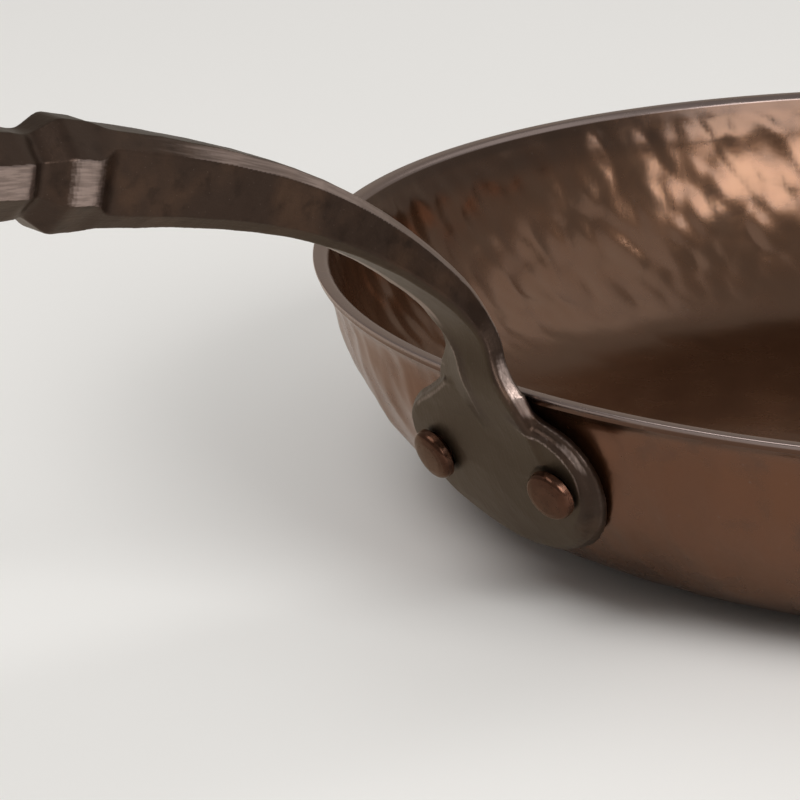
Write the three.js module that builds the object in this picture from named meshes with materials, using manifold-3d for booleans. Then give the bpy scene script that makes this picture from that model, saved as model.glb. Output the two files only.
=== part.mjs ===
// Hand-forged skillet: a hammered steel pan, a forged handle and the two rivets that hold it on.
// Millimetres, +Z up. The origin is the centre of the pan's flat underside and +X runs along the handle.
import * as THREE from "three";
import { mergeVertices } from "three/addons/utils/BufferGeometryUtils.js";
import Module from "manifold-3d";

const wasm = await Module();
wasm.setup();

// Pan
const rimRadius = 152.5;
const panHeight = 50;
const baseRadius = 100;
const wallThickness = 3;
const lipHeight = 8;
const lipFlare = 3.3;
const bowlLean = THREE.MathUtils.degToRad(14);
const panSides = 96;
const wallSteps = 10;

// Clearances
const fitGap = 0.3;
const rimGap = 0.9;

// Plate at the foot of the handle
const plateThickness = 3.5;
const plateWidth = 54;
const plateBottomHeight = 12.5;
const plateEarHeight = 33;
const plateShoulderHeight = 44;
const plateShoulderWidth = 37;
const plateNeckWidth = 21;
const bottomEaseShare = 0.5;
const earEaseShare = 0.5;
const shoulderEaseShare = 0.17;
const filletShare = 0.33;
const outlineSteps = 8;

// Route of the handle: its far end beyond the rim and above it
const handleReach = 236;
const handleRise = 75;
const archFootHeight = 33;
const neckClimb = 1.5;
const neckShift = 1.8;

// Points of the route past the neck, as shares of handleReach and handleRise
const routeShares = [
  [0.022, 0.168],
  [0.084, 0.369],
  [0.201, 0.579],
  [0.394, 0.748],
  [0.71, 0.887],
  [1, 1],
];

// Sections of the handle, widths across it and depths through it
const footWidth = 32;
const footDepth = 3.2;
const footFlankWidth = 16;
const footFlankDepth = 1.5;
const neckWidth = 24;
const neckDepth = 5.3;
const flankWidth = 12;
const flankDepth = 3.4;
const throatWidth = 17;
const throatDepth = 5.3;
const throatFlankWidth = 6.5;
const throatFlankDepth = 3;
const crookWidth = 14.5;
const crookDepth = 5.6;
const elbowWidth = 14.5;
const elbowDepth = 8;
const armWidth = 15.5;
const armDepth = 12.6;
const armEndWidth = 16;
const armEndDepth = 18.5;
const collarWidth = 20;
const collarDepth = 21.5;
const waistWidth = 14;
const waistDepth = 15.5;
const gripStartWidth = 20;
const gripStartDepth = 17.5;
const gripWidth = 25;
const gripDepth = 18;
const tailWidth = 17;
const tailDepth = 9;
const eyeWidth = 30;
const eyeDepth = 7;
const hangingHoleWidth = 14;
const edgeChamferShare = 0.17;
const collarChamferShare = 0.3;
const gripChamferShare = 0.32;
const ringSpacing = 9;
const eyeSides = 40;

// Rivets
const rivetSpacing = 34;
const rivetHeight = 32;
const shankWidth = 8;
const headWidth = 10.8;
const headHeight = 3;
const headCrown = 0.9;
const innerHeadHeight = 1.8;
const rivetSides = 32;
const crownSteps = 4;

// One overrun for everything that is cut away
const overrun = 20;

// The bowl's outer wall is an elliptical arc: level at the base, and leaning out by bowlLean at the lip's foot
const lipFootRadius = rimRadius - lipFlare;
const lipFootHeight = panHeight - lipHeight;
const arcRadius = (lipFootRadius - baseRadius) / Math.cos(bowlLean);
const arcHeight = lipFootHeight / (1 - Math.sin(bowlLean));
const arcEnd = Math.PI / 2 - bowlLean;
const lipLean = Math.atan2(lipFlare, lipHeight);

// A point of the bowl's arc, moved out of the wall by a distance
function wallPoint(angle, distance) {
  const along = new THREE.Vector2(arcRadius * Math.cos(angle), arcHeight * Math.sin(angle)).normalize();
  const radius = baseRadius + arcRadius * Math.sin(angle) + distance * along.y;
  const height = arcHeight * (1 - Math.cos(angle)) - distance * along.x;
  return new THREE.Vector2(radius, height);
}

function wallAngle(height) {
  return Math.acos(1 - height / arcHeight);
}

function wallCurve(distance) {
  const points = [];
  for (let i = 0; i <= wallSteps; i++) {
    points.push(wallPoint((arcEnd * i) / wallSteps, distance));
  }
  return points;
}

// Solids and booleans
function toSolid(geometry) {
  const bare = geometry.clone();
  bare.deleteAttribute("normal");
  bare.deleteAttribute("uv");
  const merged = mergeVertices(bare);
  const triVerts = new Uint32Array(merged.index.array);
  const vertProperties = new Float32Array(merged.attributes.position.array);
  return new wasm.Manifold(new wasm.Mesh({ numProp: 3, vertProperties, triVerts }));
}

function toGeometry(solid) {
  const mesh = solid.getMesh();
  const geometry = new THREE.BufferGeometry();
  geometry.setAttribute("position", new THREE.BufferAttribute(new Float32Array(mesh.vertProperties), 3));
  geometry.setIndex(new THREE.BufferAttribute(new Uint32Array(mesh.triVerts), 1));
  geometry.computeVertexNormals();
  return geometry;
}

// A turned shape about +Z, from its profile of radii and heights
function turned(profile, sides) {
  return new THREE.LatheGeometry(profile, sides).rotateX(Math.PI / 2);
}

// The space that the pan fills, grown by a distance, with its inside closed
function grownPan(distance) {
  const rim = new THREE.Vector2(rimRadius + distance / Math.cos(lipLean), panHeight);
  const profile = [new THREE.Vector2(0, -distance), ...wallCurve(distance), rim];
  profile.push(new THREE.Vector2(rim.x, panHeight + distance));
  profile.push(new THREE.Vector2(0, panHeight + distance));
  return toSolid(turned(profile, panSides));
}

// Rivet places: both sit square to the wall at rivetHeight, one on each side of the handle
const rivetAngle = wallAngle(rivetHeight);
const rivetSeat = wallPoint(rivetAngle, 0);
const rivetTilt = Math.atan2(arcRadius * Math.cos(rivetAngle), arcHeight * Math.sin(rivetAngle));

function placeRivet(geometry, side) {
  const turn = side * Math.asin(rivetSpacing / 2 / rivetSeat.x);
  geometry.rotateY(Math.PI / 2 + rivetTilt);
  geometry.translate(rivetSeat.x, 0, rivetSeat.y);
  return geometry.rotateZ(turn);
}

function rivetHole(side) {
  const radius = shankWidth / 2 + fitGap;
  const hole = new THREE.CylinderGeometry(radius, radius, 2 * overrun, rivetSides);
  hole.rotateX(Math.PI / 2);
  return toSolid(placeRivet(hole, side));
}

// Room for a rivet's head above the plate's face
function headRoom(side) {
  const radius = headWidth / 2 + fitGap;
  const room = new THREE.CylinderGeometry(radius, radius, overrun, rivetSides);
  room.rotateX(Math.PI / 2).translate(0, 0, overrun / 2);
  return toSolid(placeRivet(room, side)).subtract(grownPan(fitGap + plateThickness));
}

function panBody() {
  const outer = wallCurve(0);
  const inner = wallCurve(-wallThickness).reverse();
  const rimWidth = wallThickness / Math.cos(lipLean);
  const profile = [
    new THREE.Vector2(0, 0),
    ...outer,
    new THREE.Vector2(rimRadius, panHeight),
    new THREE.Vector2(rimRadius - rimWidth, panHeight),
    ...inner,
    new THREE.Vector2(0, wallThickness),
  ];
  const bowl = toSolid(turned(profile, panSides));
  return toGeometry(bowl.subtract(rivetHole(-1)).subtract(rivetHole(1)));
}

// Half of the plate's outline seen from its front: an ear round a rivet, drawn in to the neck
function plateSide(side) {
  const ear = new THREE.Vector2((side * plateWidth) / 2, plateEarHeight);
  const shoulder = new THREE.Vector2((side * plateShoulderWidth) / 2, plateShoulderHeight);
  const neck = new THREE.Vector2(neckShift + (side * plateNeckWidth) / 2, panHeight);
  const bottom = new THREE.Vector2(0, plateBottomHeight);
  const earTurn = THREE.MathUtils.lerp(shoulder.x, ear.x, earEaseShare);
  const curves = [
    new THREE.CubicBezierCurve(
      bottom,
      new THREE.Vector2(ear.x * bottomEaseShare, bottom.y),
      new THREE.Vector2(ear.x, THREE.MathUtils.lerp(ear.y, bottom.y, earEaseShare)),
      ear,
    ),
    new THREE.CubicBezierCurve(
      ear,
      new THREE.Vector2(ear.x, THREE.MathUtils.lerp(ear.y, shoulder.y, earEaseShare)),
      new THREE.Vector2(earTurn, THREE.MathUtils.lerp(shoulder.y, ear.y, shoulderEaseShare)),
      shoulder,
    ),
    new THREE.QuadraticBezierCurve(
      shoulder,
      new THREE.Vector2(neck.x, THREE.MathUtils.lerp(shoulder.y, neck.y, filletShare)),
      neck,
    ),
  ];
  return curves.flatMap((curve) => curve.getPoints(outlineSteps));
}

function plateSolid() {
  const depth = rimRadius + overrun - baseRadius;
  const outline = new THREE.Shape([...plateSide(1), ...plateSide(-1).reverse()]);
  const slab = new THREE.ExtrudeGeometry(outline, { depth, bevelEnabled: false });
  const acrossUpOut = new THREE.Matrix4().makeBasis(
    new THREE.Vector3(0, 1, 0),
    new THREE.Vector3(0, 0, 1),
    new THREE.Vector3(1, 0, 0),
  );
  slab.applyMatrix4(acrossUpOut).translate(baseRadius, 0, 0);
  return toSolid(slab).intersect(grownPan(fitGap + plateThickness));
}

// Route of the handle's middle, from the plate over the rim to the hanging eye
function handleRoute() {
  const middle = fitGap + plateThickness / 2;
  const foot = wallPoint(wallAngle(archFootHeight), middle);
  const shoulder = wallPoint(arcEnd, middle);
  const points = [
    new THREE.Vector3(foot.x, 0, foot.y),
    new THREE.Vector3(shoulder.x, 0, shoulder.y),
    new THREE.Vector3(rimRadius + rimGap + neckDepth / 2, 0, panHeight + neckClimb),
  ];
  for (const [reachShare, riseShare] of routeShares) {
    const reach = rimRadius + reachShare * handleReach;
    points.push(new THREE.Vector3(reach, 0, panHeight + riseShare * handleRise));
  }
  return new THREE.CatmullRomCurve3(points, false, "centripetal");
}

// Stations of the forging, each at its share of the route's length
const stations = [
  {
    atShare: 0,
    width: footWidth,
    depth: footDepth,
    flankWidth: footFlankWidth,
    flankDepth: footFlankDepth,
    shift: neckShift,
  },
  { atShare: 0.069, width: neckWidth, depth: neckDepth, flankWidth, flankDepth, shift: neckShift },
  {
    atShare: 0.092,
    width: throatWidth,
    depth: throatDepth,
    flankWidth: throatFlankWidth,
    flankDepth: throatFlankDepth,
    shift: neckShift,
  },
  { atShare: 0.12, width: crookWidth, depth: crookDepth, shift: neckShift / 2 },
  { atShare: 0.185, width: elbowWidth, depth: elbowDepth },
  { atShare: 0.302, width: armWidth, depth: armDepth },
  { atShare: 0.472, width: armEndWidth, depth: armEndDepth },
  { atShare: 0.484, width: collarWidth, depth: collarDepth, edgeShare: collarChamferShare },
  { atShare: 0.511, width: collarWidth, depth: collarDepth, edgeShare: collarChamferShare },
  { atShare: 0.539, width: waistWidth, depth: waistDepth, edgeShare: collarChamferShare },
  { atShare: 0.574, width: gripStartWidth, depth: gripStartDepth, edgeShare: gripChamferShare },
  { atShare: 0.72, width: gripWidth, depth: gripDepth, edgeShare: gripChamferShare },
  { atShare: 0.94, width: tailWidth, depth: tailDepth, edgeShare: gripChamferShare },
  { atShare: 1, width: tailWidth, depth: eyeDepth, edgeShare: gripChamferShare },
];

// A bar's section with its four edges bevelled, the outer one on the -Y side as a broad flank
function section(size) {
  const across = size.width / 2;
  const through = size.depth / 2;
  const edge = size.edge;
  return [
    [across, -through + edge],
    [across, through - edge],
    [across - edge, through],
    [-across + edge, through],
    [-across, through - edge],
    [-across, -through + size.flankDepth],
    [-across + size.flankWidth, -through],
    [across - edge, -through],
  ];
}

function ringAt(route, share, size) {
  const centre = route.getPointAt(share);
  centre.y += size.shift;
  const along = route.getTangentAt(share);
  const across = new THREE.Vector3(0, 1, 0);
  const inward = new THREE.Vector3().crossVectors(along, across);
  return section(size).map(([y, n]) => centre.clone().addScaledVector(across, y).addScaledVector(inward, n));
}

function loft(rings) {
  const count = rings[0].length;
  const positions = rings.flat().flatMap((point) => point.toArray());
  const index = [];
  for (let i = 0; i + 1 < rings.length; i++) {
    for (let j = 0; j < count; j++) {
      const a = i * count + j;
      const b = i * count + ((j + 1) % count);
      index.push(a, b, b + count, a, b + count, a + count);
    }
  }
  const last = (rings.length - 1) * count;
  for (let j = 1; j + 1 < count; j++) {
    index.push(0, j + 1, j);
    index.push(last, last + j, last + j + 1);
  }
  const geometry = new THREE.BufferGeometry();
  geometry.setAttribute("position", new THREE.Float32BufferAttribute(positions, 3));
  geometry.setIndex(index);
  return geometry;
}

function sizeOf(station) {
  const edge = station.depth * (station.edgeShare ?? edgeChamferShare);
  return {
    width: station.width,
    depth: station.depth,
    edge,
    flankWidth: station.flankWidth ?? edge,
    flankDepth: station.flankDepth ?? edge,
    shift: station.shift ?? 0,
  };
}

function sizeBetween(here, there, share) {
  const size = {};
  for (const key of Object.keys(here)) {
    size[key] = THREE.MathUtils.lerp(here[key], there[key], share);
  }
  return size;
}

// The forged bar: rings of the section along the route, close enough for its bends to look round
function barSolid(route) {
  const rings = [];
  for (let i = 0; i + 1 < stations.length; i++) {
    const [from, to] = [stations[i], stations[i + 1]];
    const length = (to.atShare - from.atShare) * route.getLength();
    const steps = Math.max(1, Math.round(length / ringSpacing));
    for (let k = 0; k < steps; k++) {
      const size = sizeBetween(sizeOf(from), sizeOf(to), k / steps);
      rings.push(ringAt(route, THREE.MathUtils.lerp(from.atShare, to.atShare, k / steps), size));
    }
  }
  rings.push(ringAt(route, 1, sizeOf(stations.at(-1))));
  return toSolid(loft(rings));
}

// A flat round disc at the route's far end, level with the route: the hanging eye, or its hole
function eyeDisc(route, width, depth) {
  const disc = new THREE.CylinderGeometry(width / 2, width / 2, depth, eyeSides);
  const end = route.getPointAt(1);
  const along = route.getTangentAt(1);
  disc.rotateY(-Math.PI / 2).rotateX(Math.PI / 2).rotateY(-Math.atan2(along.z, along.x));
  return toSolid(disc.translate(end.x, end.y, end.z));
}

function handle() {
  const route = handleRoute();
  const forged = barSolid(route)
    .add(plateSolid())
    .add(eyeDisc(route, eyeWidth, eyeDepth))
    .subtract(eyeDisc(route, hangingHoleWidth, overrun))
    .subtract(grownPan(fitGap))
    .subtract(rivetHole(-1))
    .subtract(rivetHole(1))
    .subtract(headRoom(-1))
    .subtract(headRoom(1));
  return toGeometry(forged);
}

// The hollow of the pan, drawn in from the inner wall by the fitting gap
function insidePan() {
  const inner = wallCurve(-wallThickness - fitGap);
  const lip = inner.at(-1);
  const top = new THREE.Vector2(lip.x + overrun * Math.sin(lipLean), lip.y + overrun * Math.cos(lipLean));
  const middle = [new THREE.Vector2(0, wallThickness + fitGap), new THREE.Vector2(0, top.y)];
  const profile = [middle[0], ...inner, top, middle[1]];
  return toSolid(turned(profile, panSides));
}

// A rivet's head, from the middle of the joint up to its crowned face
function rivetHead(top) {
  const profile = [new THREE.Vector2(0, 0), new THREE.Vector2(headWidth / 2, 0)];
  for (let i = 0; i <= crownSteps; i++) {
    const turn = (Math.PI / 2) * (i / crownSteps);
    const radius = headWidth / 2 - headCrown * (1 - Math.cos(turn));
    profile.push(new THREE.Vector2(radius, top - headCrown + headCrown * Math.sin(turn)));
  }
  profile.push(new THREE.Vector2(0, top));
  return turned(profile, rivetSides);
}

// Both heads are cut back to the fitting gap off the plate and off the inside of the pan
function rivet(side) {
  const plateFace = fitGap + plateThickness;
  const outerHead = toSolid(placeRivet(rivetHead(plateFace + fitGap + headHeight), side));
  const innerHead = rivetHead(wallThickness + fitGap + innerHeadHeight).rotateX(Math.PI);
  const joint = grownPan(plateFace + fitGap).subtract(insidePan());
  const heads = outerHead.add(toSolid(placeRivet(innerHead, side))).subtract(joint);
  const shankLength = plateFace + wallThickness + 2 * (fitGap + headCrown);
  const shank = new THREE.CylinderGeometry(shankWidth / 2, shankWidth / 2, shankLength, rivetSides);
  shank.rotateX(Math.PI / 2).translate(0, 0, (plateFace - wallThickness) / 2);
  return toGeometry(heads.add(toSolid(placeRivet(shank, side))));
}

const bronzeSteel = new THREE.MeshStandardMaterial({ color: 0x5a4136, roughness: 0.45, metalness: 0.85 });
const forgedSteel = new THREE.MeshStandardMaterial({ color: 0x3a322d, roughness: 0.6, metalness: 0.8 });
const rivetSteel = new THREE.MeshStandardMaterial({ color: 0x6a4536, roughness: 0.4, metalness: 0.85 });

const skillet = new THREE.Group();

function addPart(name, geometry, material) {
  const mesh = new THREE.Mesh(geometry, material);
  mesh.name = name;
  skillet.add(mesh);
}

addPart("pan_body", panBody(), bronzeSteel);
addPart("handle", handle(), forgedSteel);
addPart("rivet_left", rivet(-1), rivetSteel);
addPart("rivet_right", rivet(1), rivetSteel);

export default skillet;
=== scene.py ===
"""Models a hand-forged skillet: its hammered pan, forged handle, rivets, finishes and stage."""

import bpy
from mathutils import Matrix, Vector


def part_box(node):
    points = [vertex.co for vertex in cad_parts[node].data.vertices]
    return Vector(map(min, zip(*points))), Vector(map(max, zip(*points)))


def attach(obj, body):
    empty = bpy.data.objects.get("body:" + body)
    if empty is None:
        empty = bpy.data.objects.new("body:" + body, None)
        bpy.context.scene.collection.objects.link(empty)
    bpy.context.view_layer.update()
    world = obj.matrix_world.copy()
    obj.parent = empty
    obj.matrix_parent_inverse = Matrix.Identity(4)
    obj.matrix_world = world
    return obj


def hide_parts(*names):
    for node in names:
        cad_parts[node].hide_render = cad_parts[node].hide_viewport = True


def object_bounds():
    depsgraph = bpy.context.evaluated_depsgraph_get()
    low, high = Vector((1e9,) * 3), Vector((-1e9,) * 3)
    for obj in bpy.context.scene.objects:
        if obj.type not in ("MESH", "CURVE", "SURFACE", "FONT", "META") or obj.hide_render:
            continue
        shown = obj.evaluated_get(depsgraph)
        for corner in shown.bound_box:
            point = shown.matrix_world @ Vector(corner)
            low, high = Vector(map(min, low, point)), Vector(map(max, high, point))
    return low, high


bl_info = {
    "name": "Hand-Forged Skillet",
    "version": (1, 0, 0),
    "blender": (4, 5, 0),
    "location": "View3D > Sidebar > Skillet",
    "description": "Models a hammered skillet with a forged handle, its finishes, floor and lights",
    "category": "Add Mesh",
}

import math

import bmesh
import bpy
import numpy as np
from bpy.props import FloatProperty, FloatVectorProperty, IntProperty, PointerProperty
from mathutils import Matrix, Vector

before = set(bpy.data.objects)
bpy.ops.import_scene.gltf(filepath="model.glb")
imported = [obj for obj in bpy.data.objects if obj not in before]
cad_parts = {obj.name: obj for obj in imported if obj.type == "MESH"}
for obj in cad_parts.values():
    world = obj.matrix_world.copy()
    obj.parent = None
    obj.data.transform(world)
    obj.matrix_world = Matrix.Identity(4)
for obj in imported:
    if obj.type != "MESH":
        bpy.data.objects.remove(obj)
cad_low, cad_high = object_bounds()
pan_low, pan_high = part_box("pan_body")
handle_low, handle_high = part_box("handle")

MERGE_DISTANCE = 1e-6
HELPER_SIZE = 0.001
TRIANGLE_LIMIT = 192000
SHADE_ANGLE = math.radians(40)
EDGE_PASSES = 4
ROUTE_PARTS = 50
CLIP_START = 0.01

# How finely curves are stepped and round bodies turned
CURVE_STEPS = 90
ROOM_STEPS = 40
ROOM_ROUNDS = 240
DRILL_SIDES = 64
EYE_SIDES = 96
SPAN_STEPS = 60
ROUTE_STEPS = 300

# The handle's route past its neck, as shares of its reach beyond the rim and of its rise above it
ROUTE_SHARES = (
    (0.022, 0.168),
    (0.084, 0.369),
    (0.201, 0.579),
    (0.394, 0.748),
    (0.71, 0.887),
    (1.0, 1.0),
)

# Stations of the forging: its share of the route, then width, depth, the flank's width and depth, and the
# shift to the side, all in metres, and the share of the depth that each edge's bevel takes
STATIONS = (
    (0.0, 0.032, 0.0032, 0.016, 0.0015, 0.0018, 0.17),
    (0.069, 0.024, 0.0053, 0.012, 0.0034, 0.0018, 0.17),
    (0.092, 0.017, 0.0053, 0.0065, 0.003, 0.0018, 0.17),
    (0.12, 0.0145, 0.0056, 0.0006, 0.0006, 0.0009, 0.17),
    (0.185, 0.0145, 0.008, 0.0006, 0.0006, 0.0, 0.17),
    (0.302, 0.0155, 0.0126, 0.001, 0.001, 0.0, 0.17),
    (0.481, 0.016, 0.0188, 0.0032, 0.0032, 0.0, 0.17),
    (0.494, 0.0196, 0.0208, 0.0062, 0.0062, 0.0, 0.3),
    (0.518, 0.0204, 0.0218, 0.0065, 0.0065, 0.0, 0.3),
    (0.537, 0.0145, 0.0156, 0.00465, 0.00465, 0.0, 0.3),
    (0.547, 0.0185, 0.016, 0.0048, 0.0048, 0.0, 0.3),
    (0.574, 0.0203, 0.0175, 0.0056, 0.0056, 0.0, 0.32),
    (0.72, 0.025, 0.018, 0.00576, 0.00576, 0.0, 0.32),
    (0.94, 0.017, 0.009, 0.00288, 0.00288, 0.0, 0.32),
    (1.0, 0.017, 0.007, 0.00224, 0.00224, 0.0, 0.32),
)

# Where the front's ground flank ends: shares of the route, and how far to the side, in metres
CREASE_SHARES = (0.0, 0.069, 0.092, 0.12)
CREASE_PLACES = (0.0018, 0.0018, -0.0002, -0.0054)


class SkilletPanSettings(bpy.types.PropertyGroup):
    """Sizes and finish of the hammered pan."""

    rim_radius: FloatProperty(
        name="Rim Radius", description="Outer radius of the rim", default=pan_high.y, unit="LENGTH"
    )
    height: FloatProperty(
        name="Height", description="From the table to the rim", default=pan_high.z, unit="LENGTH"
    )
    base_radius: FloatProperty(
        name="Base Radius", description="Radius of the flat underside", default=0.1, unit="LENGTH"
    )
    wall: FloatProperty(name="Wall", description="Thickness of the steel", default=0.003, unit="LENGTH")
    lip_height: FloatProperty(
        name="Lip Height", description="Height of the flared lip", default=0.008, unit="LENGTH"
    )
    lip_flare: FloatProperty(
        name="Lip Flare", description="How far the lip flares out", default=0.0033, unit="LENGTH"
    )
    bowl_lean: FloatProperty(
        name="Bowl Lean",
        description="Lean of the wall where it meets the lip",
        default=math.radians(14),
        subtype="ANGLE",
    )
    burr: FloatProperty(
        name="Burr",
        description="How far the peened rim stands over the wall",
        default=0.0003,
        unit="LENGTH",
    )
    rounds: IntProperty(name="Rounds", description="Steps of the spin round the pan", default=736)
    mark_width: FloatProperty(
        name="Mark Width",
        description="Width of a hammer mark inside",
        default=0.0061,
        unit="LENGTH",
    )
    mark_depth: FloatProperty(
        name="Mark Depth",
        description="Depth of a hammer mark inside",
        default=0.00115,
        unit="LENGTH",
    )
    mark_stretch: FloatProperty(
        name="Mark Stretch",
        description="How much longer than wide a mark is up the wall",
        default=2.3,
    )
    mark_twist: FloatProperty(
        name="Mark Twist",
        description="Slant of the marks, in radians per metre of height",
        default=3.3,
    )
    broad_width: FloatProperty(
        name="Broad Width",
        description="Width of the broad waves inside",
        default=0.02,
        unit="LENGTH",
    )
    broad_depth: FloatProperty(
        name="Broad Depth",
        description="Depth of the broad waves inside",
        default=0.0003,
        unit="LENGTH",
    )
    outer_width: FloatProperty(
        name="Outer Width",
        description="Width of a hammer mark outside",
        default=0.012,
        unit="LENGTH",
    )
    outer_depth: FloatProperty(
        name="Outer Depth",
        description="Depth of a hammer mark outside",
        default=0.00085,
        unit="LENGTH",
    )
    flute_width: FloatProperty(
        name="Flute Width",
        description="Width of the narrow marks outside",
        default=0.0068,
        unit="LENGTH",
    )
    flute_depth: FloatProperty(
        name="Flute Depth",
        description="Depth of the narrow marks outside",
        default=0.0006,
        unit="LENGTH",
    )
    bronze: FloatVectorProperty(
        name="Bronze",
        description="Main colour of the patina",
        default=(0.118, 0.045, 0.018),
        subtype="COLOR",
    )
    copper: FloatVectorProperty(
        name="Copper",
        description="Warm patches of the patina",
        default=(0.142, 0.054, 0.023),
        subtype="COLOR",
    )
    umber: FloatVectorProperty(
        name="Umber",
        description="Dark patches of the patina",
        default=(0.083, 0.038, 0.02),
        subtype="COLOR",
    )
    seasoned: FloatVectorProperty(
        name="Seasoned",
        description="Colour of the inside",
        default=(0.12, 0.061, 0.033),
        subtype="COLOR",
    )
    # Painted shade: the colour that darkens the inside of the lip and the line under the rim, standing
    # for shade there
    lip_shade_colour: FloatVectorProperty(
        name="Lip Colour",
        description="Darker inside of the lip",
        default=(0.045, 0.022, 0.012),
        subtype="COLOR",
    )
    rim_colour: FloatVectorProperty(
        name="Rim Colour",
        description="Rubbed steel of the rim",
        default=(0.21, 0.16, 0.145),
        subtype="COLOR",
    )


class SkilletHandleSettings(bpy.types.PropertyGroup):
    """Sizes and finish of the forged handle."""

    fit_gap: FloatProperty(
        name="Fit Gap", description="Clearance to the pan's wall", default=0.0003, unit="LENGTH"
    )
    rim_gap: FloatProperty(
        name="Rim Gap",
        description="Clearance of the neck to the rim",
        default=0.0009,
        unit="LENGTH",
    )
    plate: FloatProperty(
        name="Plate", description="Thickness of the plate", default=0.0035, unit="LENGTH"
    )
    plate_bottom: FloatProperty(
        name="Plate Bottom",
        description="Height of its lower edge",
        default=handle_low.z,
        unit="LENGTH",
    )
    ear_height: FloatProperty(
        name="Ear Height", description="Height of the widest place", default=0.033, unit="LENGTH"
    )
    ear_reach: FloatProperty(
        name="Ear Reach",
        description="Half of the plate's width",
        default=handle_high.y,
        unit="LENGTH",
    )
    shoulder_height: FloatProperty(
        name="Shoulder Height", description="Height of the shoulders", default=0.044, unit="LENGTH"
    )
    shoulder_reach: FloatProperty(
        name="Shoulder Reach",
        description="Half width at the shoulders",
        default=0.0185,
        unit="LENGTH",
    )
    neck_reach: FloatProperty(
        name="Neck Reach", description="Half width at the rim", default=0.0105, unit="LENGTH"
    )
    neck_shift: FloatProperty(
        name="Neck Shift",
        description="How far the neck stands to one side",
        default=0.0018,
        unit="LENGTH",
    )
    ear_bevel: FloatProperty(
        name="Ear Bevel",
        description="Width of the bevel on the right ear",
        default=0.0033,
        unit="LENGTH",
    )
    ear_drop: FloatProperty(
        name="Ear Drop",
        description="Depth of the bevel on the right ear",
        default=0.0018,
        unit="LENGTH",
    )
    edge_bevel: FloatProperty(
        name="Edge Bevel", description="Width of the bevel elsewhere", default=0.0011, unit="LENGTH"
    )
    edge_drop: FloatProperty(
        name="Edge Drop", description="Depth of the bevel elsewhere", default=0.0007, unit="LENGTH"
    )
    foot_height: FloatProperty(
        name="Foot Height",
        description="Where the bar leaves the plate",
        default=0.033,
        unit="LENGTH",
    )
    neck_depth: FloatProperty(
        name="Neck Depth", description="Thickness of the neck", default=0.0053, unit="LENGTH"
    )
    neck_climb: FloatProperty(
        name="Neck Climb",
        description="Height of the neck over the rim",
        default=0.0015,
        unit="LENGTH",
    )
    reach: FloatProperty(
        name="Reach",
        description="From the rim to the middle of the eye",
        default=0.236,
        unit="LENGTH",
    )
    rise: FloatProperty(
        name="Rise", description="From the rim up to the eye", default=0.075, unit="LENGTH"
    )
    eye_radius: FloatProperty(
        name="Eye Radius",
        description="Outer radius of the hanging eye",
        default=0.015,
        unit="LENGTH",
    )
    eye_depth: FloatProperty(
        name="Eye Depth", description="Thickness of the hanging eye", default=0.007, unit="LENGTH"
    )
    hole_radius: FloatProperty(
        name="Hole Radius", description="Radius of the hanging hole", default=0.007, unit="LENGTH"
    )
    grain: FloatProperty(
        name="Grain", description="Size of the mesh's squares", default=0.00038, unit="LENGTH"
    )
    dent_width: FloatProperty(
        name="Dent Width", description="Width of a forging mark", default=0.011, unit="LENGTH"
    )
    dent_depth: FloatProperty(
        name="Dent Depth", description="Depth of a forging mark", default=0.00028, unit="LENGTH"
    )
    scale_colour: FloatVectorProperty(
        name="Scale Colour",
        description="Dark forge scale",
        default=(0.042, 0.026, 0.019),
        subtype="COLOR",
    )
    brown_colour: FloatVectorProperty(
        name="Brown Colour", description="Brown scale", default=(0.07, 0.04, 0.026), subtype="COLOR"
    )
    ground_colour: FloatVectorProperty(
        name="Ground Colour",
        description="Grey ground face",
        default=(0.057, 0.039, 0.025),
        subtype="COLOR",
    )
    worn_colour: FloatVectorProperty(
        name="Worn Colour",
        description="Bare worn steel",
        default=(0.32, 0.245, 0.215),
        subtype="COLOR",
    )


class SkilletRivetSettings(bpy.types.PropertyGroup):
    """Sizes and finish of the two rivets."""

    spacing: FloatProperty(
        name="Spacing", description="Between the two rivets", default=0.034, unit="LENGTH"
    )
    height: FloatProperty(
        name="Height", description="Height of the rivets on the wall", default=0.032, unit="LENGTH"
    )
    shank_radius: FloatProperty(
        name="Shank Radius", description="Radius of the shank", default=0.004, unit="LENGTH"
    )
    head_radius: FloatProperty(
        name="Head Radius", description="Radius of both heads", default=0.0054, unit="LENGTH"
    )
    head_height: FloatProperty(
        name="Head Height", description="Height of the outer head", default=0.003, unit="LENGTH"
    )
    crown: FloatProperty(
        name="Crown", description="Rounding of the head's edge", default=0.0013, unit="LENGTH"
    )
    inner_height: FloatProperty(
        name="Inner Height", description="Height of the inner head", default=0.0018, unit="LENGTH"
    )
    rounds: IntProperty(name="Rounds", description="Steps of the spin round a rivet", default=96)
    colour: FloatVectorProperty(
        name="Colour",
        description="Bronze-brown steel",
        default=(0.058, 0.025, 0.0145),
        subtype="COLOR",
    )
    worn_colour: FloatVectorProperty(
        name="Worn Colour", description="Rubbed edge", default=(0.45, 0.25, 0.18), subtype="COLOR"
    )


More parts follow.
